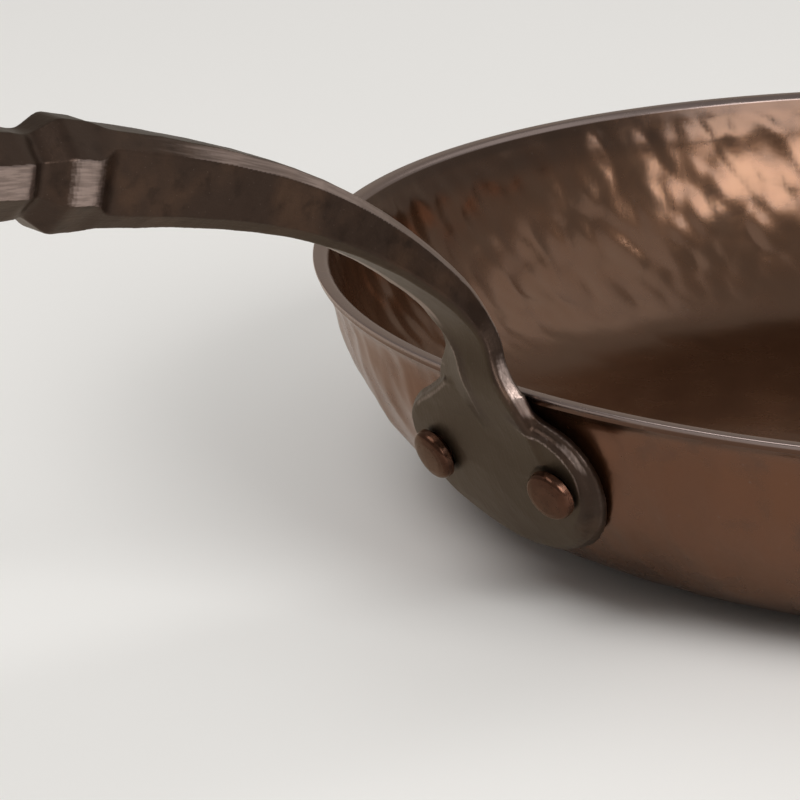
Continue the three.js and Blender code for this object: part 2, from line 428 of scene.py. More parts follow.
class SkilletStageSettings(bpy.types.PropertyGroup):
    """Camera, lights and floor."""

    camera_place: FloatVectorProperty(
        name="Camera Place",
        description="Where the camera stands",
        default=(0.7579, 0.7122, 0.3273),
        unit="LENGTH",
    )
    camera_aim: FloatVectorProperty(
        name="Camera Aim", description="Direction of view", default=(-0.6077, -0.7399, -0.2884)
    )
    lens: FloatProperty(
        name="Lens", description="Focal length", default=225.0, min=1.0, max=5000.0, unit="CAMERA"
    )
    floor_size: FloatProperty(
        name="Floor Size", description="Width of the floor", default=12.0, unit="LENGTH"
    )
    floor_colour: FloatVectorProperty(
        name="Floor Colour", description="Pale table", default=(0.87, 0.855, 0.83), subtype="COLOR"
    )
    surround: FloatProperty(
        name="Surround", description="Brightness of the plain surroundings", default=0.4
    )
    window_power: FloatProperty(
        name="Window Power",
        description="Power of the low wide light on the right",
        default=36.0,
        unit="POWER",
    )
    front_power: FloatProperty(
        name="Front Power",
        description="Power of the large high light on the handle's side",
        default=66.0,
        unit="POWER",
    )
    back_power: FloatProperty(
        name="Back Power",
        description="Power of the faint light beyond the pan",
        default=1.8,
        unit="POWER",
    )


# Modelling


def clear_selection():
    """Leaves edit mode and deselects everything."""
    if bpy.context.object and bpy.context.object.mode != "OBJECT":
        bpy.ops.object.mode_set(mode="OBJECT")
    bpy.ops.object.select_all(action="DESELECT")


def take(piece):
    """Makes one object the only selected one, and the active one."""
    clear_selection()
    piece.select_set(True)
    bpy.context.view_layer.objects.active = piece


def discard(piece):
    """Deletes a helper object."""
    take(piece)
    bpy.ops.object.delete()


def apply_modifier(piece, kind, **values):
    """Adds a modifier with its values and applies it."""
    take(piece)
    modifier = piece.modifiers.new(kind.title(), kind)
    for name, value in values.items():
        setattr(modifier, name, value)
    bpy.ops.object.modifier_apply(modifier=modifier.name)


def cut(piece, tool, keep=False):
    """Cuts a tool's solid out of a piece."""
    apply_modifier(piece, "BOOLEAN", operation="DIFFERENCE", solver="MANIFOLD", object=tool)
    if not keep:
        discard(tool)


def spin_profile(name, points, rounds):
    """Extrudes one corner along a profile of radii and heights, and turns it round Z."""
    clear_selection()
    bpy.ops.mesh.primitive_plane_add(size=HELPER_SIZE, enter_editmode=True)
    bpy.ops.mesh.merge(type="CENTER")
    bpy.ops.mesh.select_all(action="SELECT")
    bpy.ops.transform.translate(value=(points[0][0], 0, points[0][1]))
    for here, there in zip(points, points[1:]):
        step = (there[0] - here[0], 0, there[1] - here[1])
        bpy.ops.mesh.extrude_region_move(TRANSFORM_OT_translate={"value": step})
    bpy.ops.object.mode_set(mode="OBJECT")
    piece = bpy.context.object
    apply_modifier(
        piece,
        "SCREW",
        axis="Z",
        angle=2 * math.pi,
        steps=rounds,
        render_steps=rounds,
        use_merge_vertices=True,
        merge_threshold=MERGE_DISTANCE,
    )
    bpy.ops.object.mode_set(mode="EDIT")
    bpy.ops.mesh.select_all(action="SELECT")
    bpy.ops.mesh.remove_doubles(threshold=MERGE_DISTANCE)
    bpy.ops.mesh.normals_make_consistent(inside=False)
    bpy.ops.object.mode_set(mode="OBJECT")
    piece.name = name
    piece.data.name = name
    return piece


def get_points(piece):
    """A mesh's corners as an array."""
    points = np.empty(len(piece.data.vertices) * 3)
    piece.data.vertices.foreach_get("co", points)
    return points.reshape(-1, 3)


def get_normals(piece):
    """The direction out of a mesh at each corner, as an array."""
    normals = np.empty(len(piece.data.vertices) * 3)
    piece.data.vertices.foreach_get("normal", normals)
    return normals.reshape(-1, 3)


def set_points(piece, points):
    """Puts a mesh's corners back from an array."""
    piece.data.vertices.foreach_set("co", points.ravel())
    piece.data.update()


def weight(piece, name, values):
    """Gives a piece a vertex group with one weight for each corner."""
    group = piece.vertex_groups.new(name=name)
    for index in np.nonzero(values > 0)[0]:
        group.add([int(index)], float(values[index]), "REPLACE")
    return name


def smooth_step(values, low, high):
    """0 up to low and 1 from high, with an eased ramp between."""
    share = np.clip((values - low) / (high - low), 0, 1)
    return share * share * (3 - 2 * share)


def dent(piece, group, width, depth, stretch=1.0, rest=1.0, seed=0.0):
    """Hammers round-bottomed dents into a vertex group; rest is the level that stays in place."""
    texture = bpy.data.textures.new("hammer_marks", "VORONOI")
    texture.distance_metric = "DISTANCE_SQUARED"
    texture.noise_scale = 1.0
    clear_selection()
    bpy.ops.object.empty_add(location=(seed * width, seed * width, seed * width))
    space = bpy.context.object
    space.scale = (width, width, width * stretch)
    bpy.context.view_layer.update()
    apply_modifier(
        piece,
        "DISPLACE",
        texture=texture,
        texture_coords="OBJECT",
        texture_coords_object=space,
        direction="NORMAL",
        strength=depth,
        mid_level=rest,
        vertex_group=group,
    )
    discard(space)
    bpy.data.textures.remove(texture)


def twist(piece, turn):
    """Turns a piece's corners about Z, by an angle for each metre of height."""
    points = get_points(piece)
    angle = turn * points[:, 2]
    x = points[:, 0] * np.cos(angle) - points[:, 1] * np.sin(angle)
    y = points[:, 0] * np.sin(angle) + points[:, 1] * np.cos(angle)
    set_points(piece, np.stack([x, y, points[:, 2]], axis=1))


def window(values, start, full, fade, stop):
    """1 between full and fade, easing to 0 at start and stop."""
    return smooth_step(values, start, full) * (1 - smooth_step(values, fade, stop))


def paint(piece, name, values):
    """Stores a number or a vector for each corner of a piece, for its material to read."""
    values = np.asarray(values, dtype=np.float32)
    kind = "FLOAT" if values.ndim == 1 else "FLOAT_VECTOR"
    layer = piece.data.attributes.new(name, kind, "POINT")
    layer.data.foreach_set("value" if kind == "FLOAT" else "vector", values.ravel())


def paint_edges(piece):
    """Marks how far each corner stands out over its neighbours, evened over the corners around it."""
    points = get_points(piece)
    pairs = np.empty(len(piece.data.edges) * 2, dtype=int)
    piece.data.edges.foreach_get("vertices", pairs)
    pairs = pairs.reshape(-1, 2)
    here, there = np.concatenate([pairs, pairs[:, ::-1]]).T
    gap = points[there] - points[here]
    fall = -(gap * get_normals(piece)[here]).sum(axis=1)
    fall /= np.maximum(np.linalg.norm(gap, axis=1), MERGE_DISTANCE)
    count = np.maximum(np.bincount(here, minlength=len(points)), 1)
    height = np.bincount(here, weights=fall, minlength=len(points)) / count
    for _ in range(EDGE_PASSES):
        around = np.bincount(here, weights=height[there], minlength=len(points)) / count
        height = (height + around) / 2
    paint(piece, "edges", height)


def thin_mesh(piece):
    """Merges the smallest faces of a piece until it is under the limit."""
    triangles = sum(len(face.vertices) - 2 for face in piece.data.polygons)
    if triangles > TRIANGLE_LIMIT:
        apply_modifier(piece, "DECIMATE", ratio=TRIANGLE_LIMIT / triangles)


def smooth_shade(piece):
    """Shades a piece smooth, with hard edges past the angle."""
    take(piece)
    bpy.ops.object.shade_smooth_by_angle(angle=SHADE_ANGLE)


def finish_piece(piece, node, material):
    """Gives a piece its material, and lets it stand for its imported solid."""
    piece.data.materials.clear()
    piece.data.materials.append(material)
    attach(piece, "root")
    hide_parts(node)


# The bowl's wall


def bowl_arc(pan):
    """Half-axes of the bowl's elliptical arc and the angle where the lip begins."""
    reach = (pan.rim_radius - pan.lip_flare - pan.base_radius) / math.cos(pan.bowl_lean)
    rise = (pan.height - pan.lip_height) / (1 - math.sin(pan.bowl_lean))
    return reach, rise, math.pi / 2 - pan.bowl_lean


def wall_point(pan, angle, distance):
    """Radius and height of a point of the wall's arc, moved out of the wall by a distance."""
    reach, rise, _ = bowl_arc(pan)
    along = Vector((reach * math.cos(angle), rise * math.sin(angle))).normalized()
    radius = pan.base_radius + reach * math.sin(angle) + distance * along.y
    return radius, rise * (1 - math.cos(angle)) - distance * along.x


def wall_curve(pan, distance, steps):
    """The whole arc at one distance, from the base to the lip's foot."""
    end = bowl_arc(pan)[2]
    return [wall_point(pan, end * i / steps, distance) for i in range(steps + 1)]


def wall_radius(pan, heights, distance):
    """Radius of the wall's outside, moved out by a distance, at each of many heights."""
    lean = math.atan2(pan.lip_flare, pan.lip_height)
    curve = wall_curve(pan, distance, CURVE_STEPS)
    curve.append((pan.rim_radius + distance / math.cos(lean), pan.height))
    radii, levels = np.array(curve).T
    return np.interp(heights, levels, radii)


def pan_room(pan, gap):
    """The space that the pan fills, grown by a gap, with its inside closed."""
    lean = math.atan2(pan.lip_flare, pan.lip_height)
    rim = pan.rim_radius + gap / math.cos(lean)
    top = pan.height + gap
    points = [(0, -gap), *wall_curve(pan, gap, ROOM_STEPS), (rim, pan.height), (rim, top), (0, top)]
    return spin_profile("pan_room", points, ROOM_ROUNDS)


def rivet_place(pan, rivets, side):
    """Where a rivet's axis leaves the wall, with Z pointing out of it."""
    reach, rise, _ = bowl_arc(pan)
    angle = math.acos(1 - rivets.height / rise)
    radius, height = wall_point(pan, angle, 0)
    tilt = math.atan2(reach * math.cos(angle), rise * math.sin(angle))
    turn = side * math.asin(rivets.spacing / 2 / radius)
    seat = Matrix.Translation((radius, 0, height)) @ Matrix.Rotation(math.pi / 2 + tilt, 4, "Y")
    return Matrix.Rotation(turn, 4, "Z") @ seat


def seen_from(place, points):
    """Points measured from a rivet's place, with Z along its axis."""
    back = place.inverted()
    return points @ np.array(back.to_3x3()).T + np.array(back.translation)


def rivet_drills(pan, rivets, gap):
    """Round bars through the wall, as wide as the rivets' holes."""
    drills = []
    radius = rivets.shank_radius + gap
    length = 8 * rivets.head_radius
    for side in (-1, 1):
        clear_selection()
        bpy.ops.mesh.primitive_cylinder_add(vertices=DRILL_SIDES, radius=radius, depth=length)
        bpy.context.object.data.transform(rivet_place(pan, rivets, side))
        drills.append(bpy.context.object)
    drills[0].select_set(True)
    bpy.ops.object.join()
    return bpy.context.object


# The pan

# Rounding of the rim's two edges, as shares of the wall's thickness
OUTER_ROUND_SHARE = 0.22
INNER_ROUND_SHARE = 0.35

# Depths below the rim where the burr starts, is full and is part as wide, in outer roundings
BURR_DEPTHS = (3, 2.2, 1.4)
BURR_SHARE = 0.5

# Depth below the rim where the lip's inside starts, in inner roundings
LIP_START = 1.2

# Steps of each part of the pan's section
BASE_STEPS = 10
OUTER_WALL_STEPS = 32
LIP_STEPS = 6
ROUND_STEPS = 6
INNER_LIP_STEPS = 7
INNER_WALL_STEPS = 46
SURFACE_STEPS = 22

# Where the hammer marks fade: depths below the rim in metres, distances from a rivet in head radii, and
# heights over the table in wall thicknesses
RIM_FADE = (0.005, 0.0015)
RIVET_FADE = (1.1, 2.2)
FOOT_FADE = (2, 6)
RIVET_ROOM = 4
UNDERSIDE_SHARE = 0.3


def pan_profile(pan):
    """Radii and heights of the section, from under the middle round the rim to the middle inside."""
    lean = math.atan2(pan.lip_flare, pan.lip_height)
    rim_width = pan.wall / math.cos(lean)
    slope = math.tan(lean)
    rim = pan.rim_radius
    top = pan.height
    outer_round = OUTER_ROUND_SHARE * pan.wall
    inner_round = INNER_ROUND_SHARE * pan.wall
    burr_start, burr_full, burr_part = [depth * outer_round for depth in BURR_DEPTHS]
    points = [(radius, 0.0) for radius in np.linspace(0, pan.base_radius, BASE_STEPS)[:-1]]
    points += wall_curve(pan, 0, OUTER_WALL_STEPS)
    for height in np.linspace(top - pan.lip_height, top - burr_start, LIP_STEPS)[1:]:
        points.append((rim - (top - height) * slope, height))
    points.append((rim - burr_full * slope - pan.burr, top - burr_full))
    points.append((rim - burr_part * slope - BURR_SHARE * pan.burr, top - burr_part))
    for turn in np.linspace(0, math.pi / 2, ROUND_STEPS):
        drop = outer_round * (1 - math.sin(turn))
        points.append((rim - outer_round * (1 - math.cos(turn)) - slope * drop, top - drop))
    for turn in np.linspace(math.pi / 2, math.pi, ROUND_STEPS):
        drop = inner_round * (1 - math.sin(turn))
        radius = rim - rim_width + inner_round * (1 + math.cos(turn)) - slope * drop
        points.append((radius, top - drop))
    inner = wall_curve(pan, -pan.wall, INNER_WALL_STEPS)
    inner.reverse()
    lip_depth = LIP_START * inner_round
    lip_top = Vector((rim - rim_width - lip_depth * slope, top - lip_depth))
    lip_foot = Vector(inner[0])
    for share in np.linspace(0, 1, INNER_LIP_STEPS)[:-1]:
        points.append(tuple(lip_top.lerp(lip_foot, share)))
    points += inner
    points += [(radius, pan.wall) for radius in np.linspace(pan.base_radius, 0, SURFACE_STEPS)[1:]]
    return points


def outer_side(points, pan):
    """True where a corner lies on the outer side of the wall or under the base."""
    radius = np.hypot(points[:, 0], points[:, 1])
    return (radius > wall_radius(pan, points[:, 2], -pan.wall / 2)) | (points[:, 2] < pan.wall / 2)


def build_pan(pan, rivets, gap):
    """Spins the pan, hammers it inside and out, and drills it for the rivets."""
    piece = spin_profile("hammered_pan", pan_profile(pan), pan.rounds)
    points = get_points(piece)
    height = points[:, 2]
    outer = outer_side(points, pan)
    free = 1 - smooth_step(height, *[pan.height - depth for depth in RIM_FADE])
    round_rivet = [radii * rivets.head_radius for radii in RIVET_FADE]
    for side in (-1, 1):
        local = seen_from(rivet_place(pan, rivets, side), points)
        away = np.hypot(local[:, 0], local[:, 1])
        behind = np.abs(local[:, 2]) > RIVET_ROOM * pan.wall
        free *= np.maximum(behind, smooth_step(away, *round_rivet))
    on_wall = smooth_step(height, *[walls * pan.wall for walls in FOOT_FADE])
    underside = UNDERSIDE_SHARE + (1 - UNDERSIDE_SHARE) * on_wall
    inside = weight(piece, "inside", np.where(outer, 0, free))
    inner_wall = weight(piece, "inner_wall", np.where(outer, 0, free * on_wall))
    outside = weight(piece, "outside", np.where(outer, free * underside, 0))
    dent(piece, inside, pan.broad_width, pan.broad_depth, stretch=1.5, rest=0.3)
    twist(piece, -pan.mark_twist)
    dent(piece, inner_wall, pan.mark_width, pan.mark_depth, pan.mark_stretch, rest=0.3)
    apply_modifier(piece, "SMOOTH", factor=0.5, iterations=2, vertex_group=inner_wall)
    twist(piece, pan.mark_twist)
    dent(piece, outside, pan.outer_width, pan.outer_depth, stretch=1.8, seed=7.0)
    dent(piece, outside, pan.flute_width, pan.flute_depth, stretch=5.0, seed=3.0)
    cut(piece, rivet_drills(pan, rivets, gap))
    set_points(piece, np.clip(get_points(piece), np.array(pan_low), np.array(pan_high)))
    smooth_shade(piece)
    paint(piece, "inner_side", np.where(outer_side(get_points(piece), pan), 0, 1))
    return piece


# The handle

# The plate's outline: how far each side's fillet into the neck spreads and climbs, how wide the bottom's
# lobe and how high the shoulder's turn is, all as shares, and the steps of its three curves
FILLET_SHARES = {1: (0.0, 0.33), -1: (0.4, 0.5)}
LOBE_SHARE = 0.5
SHOULDER_SHARE = 0.17
OUTLINE_STEPS = (20, 14, 10)

# The ears' broad bevels come in between these places to the side and these heights, in metres
RIGHT_EAR = ((0.003, 0.011), (0.017, 0.025))
LEFT_EAR = ((0.004, 0.009), (0.036, 0.041))
LEFT_BEVEL_SHARE = 0.5

# The share of a bevel's drop that slopes evenly, and where across the bevel its ledge lies
SLOPE_SHARE = 0.45
LEDGE_SHARES = (0.45, 0.6)

# Seats of the rivets: how steeply they rise, and how far they reach, in head radii
SEAT_SLOPE = 1.5
SEAT_REACH = 2.5

# Where the plate's face begins, as shares of its thickness, and how many times finer the second dents are
FACE_SHARES = (0.4, 0.8)
FINER_WIDTH = 3
FINER_DEPTH = 4

# Worn and ground places. Names in SHARES are along the route, names in TURN say how far a face looks to
# the side, up or down, and the others are distances in metres. Four values start, fill, fade and end a
# place
PLATE_TOP = (0.0445, 0.0475)
NECK_SHARES = (0.03, 0.05, 0.08, 0.105)
NECK_TURN = (0.6, 0.85)
NECK_BACK = (-0.0011, -0.0002)
# Painted shade by the rim: distances from the rim over which the worn neck turns dark, and how much of
# its wear stays there
RIM_SHADE = (0.0006, 0.0016)
RIM_SHADE_SHARE = 0.2
ARCH_SHARES = (0.085, 0.12, 0.38, 0.48)
ARCH_FADE_SHARES = (0.25, 0.36)
ARCH_FADED_SHARE = 0.45
ARCH_SIDE_TURN = (0.3, 0.5, 0.88, 0.96)
ARCH_UP_TURN = (0.25, 0.45)
COLLAR_SHARES = (0.482, 0.504, 0.508, 0.526)
COLLAR_TURN = (0.8, 0.94)
GRIP_SHARES = (0.538, 0.547, 0.6, 0.7)
GRIP_TURN = (0.75, 0.92)
FILED_HEIGHTS = (0.034, 0.0375, 0.04, 0.0425)
FILED_PLACE = (0.01, 0.014)
FILED_EDGE = (0.0005, 0.001, 0.0016, 0.0021)
LEDGE_HEIGHTS = (0.027, 0.033, 0.042, 0.046)
LEDGE_WIDTH = 0.0005
LEFT_EAR_EDGE = (0.0014, 0.002, 0.0023, 0.0028)
FLANK_SHARES = (0.03, 0.055, 0.095, 0.115)
FLANK_TURN = (0.6, 0.8)
CREASE_EDGE = (-0.0009, -0.0003, 0.0, 0.0005)
# Painted shadow beside the crease: where the grey ground gives way to dark scale, and by how much
CREASE_SHADOW = (0.0, 0.0006, 0.0012, 0.0035)
CREASE_SHADOW_SHARE = 0.8
UNDER_SHARES = (0.1, 0.14, 0.3, 0.42)
UNDER_TURN = (0.5, 0.8)
UNDER_EDGE = (-0.0004, 0.0002, 0.0022, 0.0036)
BEVEL_SHARE = 0.9
FRONT_SHARES = (0.3, 0.5)
FRONT_TURN = (0.55, 0.85)

# How bright each worn place is rubbed
WEAR_SHARES = {
    "neck": 1.0,
    "arch": 1.0,
    "collar": 0.85,
    "grip": 0.8,
    "under edge": 0.75,
    "filed": 0.6,
    "ledge": 0.6,
    "crease": 0.5,
    "left ear": 0.45,
}


def handle_route(pan, handle):
    """Points about a millimetre apart along the handle's middle, from the plate to the hanging eye."""
    middle = handle.fit_gap + handle.plate / 2
    _, rise, end = bowl_arc(pan)
    foot = wall_point(pan, math.acos(1 - handle.foot_height / rise), middle)
    shoulder = wall_point(pan, end, middle)
    neck = (pan.rim_radius + handle.rim_gap + handle.neck_depth / 2, pan.height + handle.neck_climb)
    knots = [foot, shoulder, neck]
    for reach_share, rise_share in ROUTE_SHARES:
        knots.append((pan.rim_radius + reach_share * handle.reach, pan.height + rise_share * handle.rise))
    knots = [Vector(knot) for knot in knots]
    knots = [2 * knots[0] - knots[1], *knots, 2 * knots[-1] - knots[-2]]
    fine = []
    for before, here, there, after in zip(knots, knots[1:], knots[2:], knots[3:]):
        first = (here - before).length ** 0.5
        span = (there - here).length ** 0.5
        last = (after - there).length ** 0.5
        start = (here - before) / first - (there - before) / (first + span) + (there - here) / span
        stop = (there - here) / span - (after - here) / (span + last) + (after - there) / last
        start *= span
        stop *= span
        for t in np.linspace(0, 1, SPAN_STEPS, endpoint=False):
            bend = (2 * here - 2 * there + start + stop) * t**3
            bend += (3 * there - 3 * here - 2 * start - stop) * t**2
            fine.append(bend + start * t + here)
    fine.append(knots[-2])
    fine = np.array([tuple(point) for point in fine])
    lengths = np.concatenate(([0], np.cumsum(np.linalg.norm(np.diff(fine, axis=0), axis=1))))
    even = np.linspace(0, lengths[-1], ROUTE_STEPS)
    route = np.stack([np.interp(even, lengths, side) for side in fine.T], axis=1)
    return route, lengths[-1]


def bar_section(station):
    """The eight corners of the bar's section, with bevelled edges and one broad flank."""
    width, depth, flank_width, flank_depth, shift, edge_share = station
    across = width / 2
    through = depth / 2
    edge = depth * edge_share
    corners = [
        (across, -through + edge),
        (across, through - edge),
        (across - edge, through),
        (-across + edge, through),
        (-across, through - edge),
        (-across, -through + flank_depth),
        (-across + flank_width, -through),
        (across - edge, -through),
    ]
    return [(y + shift, z) for y, z in corners]


def draw_out_bar(length):
    """Draws the bar out straight along X: one face, extruded and reshaped from ring to ring."""
    shares = np.linspace(0, 1, ROUTE_STEPS)
    stations, *columns = np.array(STATIONS).T
    sizes = np.stack([np.interp(shares, stations, column) for column in columns], axis=1)
    soft = np.array([0.25, 0.5, 0.25])
    for column in sizes.T:
        column[1:-1] = np.convolve(column, soft, mode="valid")
    clear_selection()
    bpy.ops.mesh.primitive_circle_add(
        vertices=8, radius=HELPER_SIZE, fill_type="NGON", enter_editmode=True
    )
    bar = bpy.context.object
    cage = bmesh.from_edit_mesh(bar.data)
    corners = bar_section(sizes[0])
    for corner, (y, z) in zip(cage.verts, corners):
        corner.co = (0, y, z)
    bmesh.update_edit_mesh(bar.data)
    bpy.ops.mesh.select_all(action="SELECT")
    for here, there in zip(range(len(shares)), range(1, len(shares))):
        step = (shares[there] - shares[here]) * length
        bpy.ops.mesh.extrude_region_move(TRANSFORM_OT_translate={"value": (step, 0, 0)})
        cage = bmesh.from_edit_mesh(bar.data)
        moved = bar_section(sizes[there])
        for corner in [v for v in cage.verts if v.select]:
            place = np.array((corner.co.y, corner.co.z))
            nearest = int(np.argmin([np.hypot(*(place - old)) for old in corners]))
            corner.co = (shares[there] * length, *moved[nearest])
        corners = moved
        bmesh.update_edit_mesh(bar.data)
    bpy.ops.mesh.select_all(action="SELECT")
    bpy.ops.mesh.normals_make_consistent(inside=False)
    bpy.ops.object.mode_set(mode="OBJECT")
    return bar


def bend_bar(bar, route):
    """Bends the straight bar along the handle's route."""
    curve = bpy.data.curves.new("handle_route", "CURVE")
    curve.dimensions = "3D"
    spline = curve.splines.new("POLY")
    spline.points.add(len(route) - 1)
    for point, (x, z) in zip(spline.points, route):
        point.co = (x, 0, z, 1)
    guide = bpy.data.objects.new("handle_route", curve)
    bpy.context.scene.collection.objects.link(guide)
    bpy.context.view_layer.update()
    apply_modifier(bar, "CURVE", object=guide, deform_axis="POS_X")
    discard(guide)


def bezier(knots, steps):
    """Points along a Bezier curve through its control points."""
    points = []
    for t in np.linspace(0, 1, steps):
        row = [Vector(knot) for knot in knots]
        while len(row) > 1:
            row = [a.lerp(b, t) for a, b in zip(row, row[1:])]
        points.append(tuple(row[0]))
    return points


def plate_outline(pan, handle):
    """The plate's outline seen from its front: an ear round each rivet, drawn in to the neck."""
    halves = []
    bottom_z = handle.plate_bottom
    ear_z = handle.ear_height
    shoulder_z = handle.shoulder_height
    rise = shoulder_z - ear_z
    lobe_steps, ear_steps, fillet_steps = OUTLINE_STEPS
    for side in (1, -1):
        ear = side * handle.ear_reach
        shoulder = side * handle.shoulder_reach
        neck = handle.neck_shift + side * handle.neck_reach
        lobe = [(0, bottom_z), (ear * LOBE_SHARE, bottom_z), (ear, (ear_z + bottom_z) / 2), (ear, ear_z)]
        turn = ((shoulder + ear) / 2, shoulder_z - SHOULDER_SHARE * rise)
        spread, climb = FILLET_SHARES[side]
        fillet = (neck + spread * (shoulder - neck), shoulder_z + climb * (pan.height - shoulder_z))
        upper = [(ear, ear_z), (ear, ear_z + rise / 2), turn, (shoulder, shoulder_z)]
        half = bezier(lobe, lobe_steps)
        half += bezier(upper, ear_steps)[1:]
        half += bezier([(shoulder, shoulder_z), fillet, (neck, pan.height)], fillet_steps)[1:]
        halves.append(half)
    right, left = halves
    return right + left[:0:-1]


def outline_distance(points, outline):
    """How far inside the plate's outline each corner lies, seen from the front."""
    starts = np.array(outline)
    steps = np.roll(starts, -1, axis=0) - starts
    flat = points[:, 1:3]
    nearest = np.full(len(flat), np.inf)
    for start, step in zip(starts, steps):
        share = np.clip((flat - start) @ step / max(step @ step, MERGE_DISTANCE**2), 0, 1)
        gap = flat - start - share[:, None] * step
        nearest = np.minimum(nearest, np.hypot(gap[:, 0], gap[:, 1]))
    return nearest


def ear_share(points, side, place):
    """1 where one ear has its broad bevel, and 0 elsewhere on the plate."""
    across, up = place
    return smooth_step(side * points[:, 1], *across) * smooth_step(points[:, 2], *up)


def build_plate(pan, handle):
    """Thickens the plate flat, files its bevels, then lays it on the wall."""
    outline = plate_outline(pan, handle)
    clear_selection()
    bpy.ops.mesh.primitive_circle_add(
        vertices=len(outline), radius=HELPER_SIZE, fill_type="NGON", enter_editmode=True
    )
    plate = bpy.context.object
    cage = bmesh.from_edit_mesh(plate.data)
    for corner, (y, z) in zip(cage.verts, outline):
        corner.co = (0, y, z)
    bmesh.update_edit_mesh(plate.data)
    bpy.ops.mesh.select_all(action="SELECT")
    bpy.ops.mesh.extrude_region_move(TRANSFORM_OT_translate={"value": (handle.plate, 0, 0)})
    bpy.ops.mesh.select_all(action="SELECT")
    bpy.ops.mesh.normals_make_consistent(inside=False)
    bpy.ops.object.mode_set(mode="OBJECT")
    apply_modifier(plate, "REMESH", mode="VOXEL", voxel_size=handle.grain)
    points = get_points(plate)
    left_ear = LEFT_BEVEL_SHARE * ear_share(points, -1, LEFT_EAR)
    ear = np.maximum(ear_share(points, 1, RIGHT_EAR), left_ear)
    width = handle.edge_bevel + (handle.ear_bevel - handle.edge_bevel) * ear
    drop = handle.edge_drop + (handle.ear_drop - handle.edge_drop) * ear
    share = np.clip(1 - outline_distance(points, outline) / width, 0, 1)
    ledge = SLOPE_SHARE * share + (1 - SLOPE_SHARE) * smooth_step(share, *LEDGE_SHARES)
    points[:, 0] = np.minimum(points[:, 0], handle.plate - drop * ledge)
    near = wall_radius(pan, points[:, 2], handle.fit_gap)
    far = wall_radius(pan, points[:, 2], handle.fit_gap + handle.plate)
    radius = near + (far - near) * points[:, 0] / handle.plate
    points[:, 0] = np.sqrt(radius**2 - points[:, 1] ** 2)
    set_points(plate, points)
    return plate


def eye_disc(route, radius, depth, name):
    """A round disc at the handle's far end, level with the handle there."""
    end = Vector((route[-1][0], 0, route[-1][1]))
    along = route[-1] - route[-2]
    slope = math.atan2(along[1], along[0])
    clear_selection()
    bpy.ops.mesh.primitive_cylinder_add(vertices=EYE_SIDES, radius=radius, depth=depth)
    disc = bpy.context.object
    disc.name = name
    disc.data.transform(Matrix.Translation(end) @ Matrix.Rotation(-slope, 4, "Y"))
    return disc


def clear_rivet_seats(points, pan, handle, rivets):
    """Presses the forging flat round each rivet's head, down to the plate's face."""
    face = wall_radius(pan, points[:, 2], handle.fit_gap + handle.plate)
    for side in (-1, 1):
        local = seen_from(rivet_place(pan, rivets, side), points)
        distance = np.hypot(local[:, 0], local[:, 1])
        room = np.clip(distance - rivets.head_radius - handle.fit_gap, 0, None) * SEAT_SLOPE
        limit = np.sqrt(np.clip((face + room) ** 2 - points[:, 1] ** 2, 0, None))
        near = (distance < SEAT_REACH * rivets.head_radius) & (local[:, 2] > 0)
        points[:, 0] = np.where(near, np.minimum(points[:, 0], limit), points[:, 0])
    return points


def build_handle(pan, handle, rivets):
    """Forges the handle: bar, plate and eye become one skin, which is then hammered and drilled."""
    route, length = handle_route(pan, handle)
    piece = draw_out_bar(length)
    bend_bar(piece, route)
    cut(piece, pan_room(pan, handle.fit_gap))
    plate = build_plate(pan, handle)
    eye = eye_disc(route, handle.eye_radius, handle.eye_depth, "eye")
    hole = eye_disc(route, handle.hole_radius, 4 * handle.eye_depth, "hole")
    cut(piece, hole, keep=True)
    cut(eye, hole)
    clear_selection()
    for part in (plate, eye, piece):
        part.select_set(True)
    bpy.context.view_layer.objects.active = piece
    bpy.ops.object.join()
    piece.name = "forged_handle"
    piece.data.name = "forged_handle"
    apply_modifier(piece, "REMESH", mode="VOXEL", voxel_size=handle.grain)
    apply_modifier(piece, "SMOOTH", factor=0.5, iterations=2)
    points = clear_rivet_seats(get_points(piece), pan, handle, rivets)
    set_points(piece, points)
    radius = np.hypot(points[:, 0], points[:, 1])
    proud = radius - wall_radius(pan, points[:, 2], handle.fit_gap)
    on_face = smooth_step(proud, *[share * handle.plate for share in FACE_SHARES])
    free = np.where(points[:, 2] < pan.height, on_face, 1)
    group = weight(piece, "hammered", free)
    dent(piece, group, handle.dent_width, handle.dent_depth, seed=2.0)
    dent(piece, group, handle.dent_width / FINER_WIDTH, handle.dent_depth / FINER_DEPTH, seed=5.0)
    thin_mesh(piece)
    cut(piece, rivet_drills(pan, rivets, handle.fit_gap))
    set_points(piece, np.clip(get_points(piece), np.array(handle_low), np.array(handle_high)))
    smooth_shade(piece)
    paint_handle(piece, pan, handle, route, length)
    return piece


def along_route(points, route):
    """For each corner, the nearest step of the route and its height above it, square to the bar."""
    nearest = np.empty(len(points), dtype=int)
    for part in np.array_split(np.arange(len(points)), ROUTE_PARTS):
        gap = points[part][:, None, ::2] - route[None]
        nearest[part] = np.argmin((gap**2).sum(axis=2), axis=1)
    tangent = np.gradient(route, axis=0)
    tangent /= np.linalg.norm(tangent, axis=1)[:, None]
    above = np.stack([-tangent[:, 1], tangent[:, 0]], axis=1)[nearest]
    return nearest, above, ((points[:, ::2] - route[nearest]) * above).sum(axis=1)


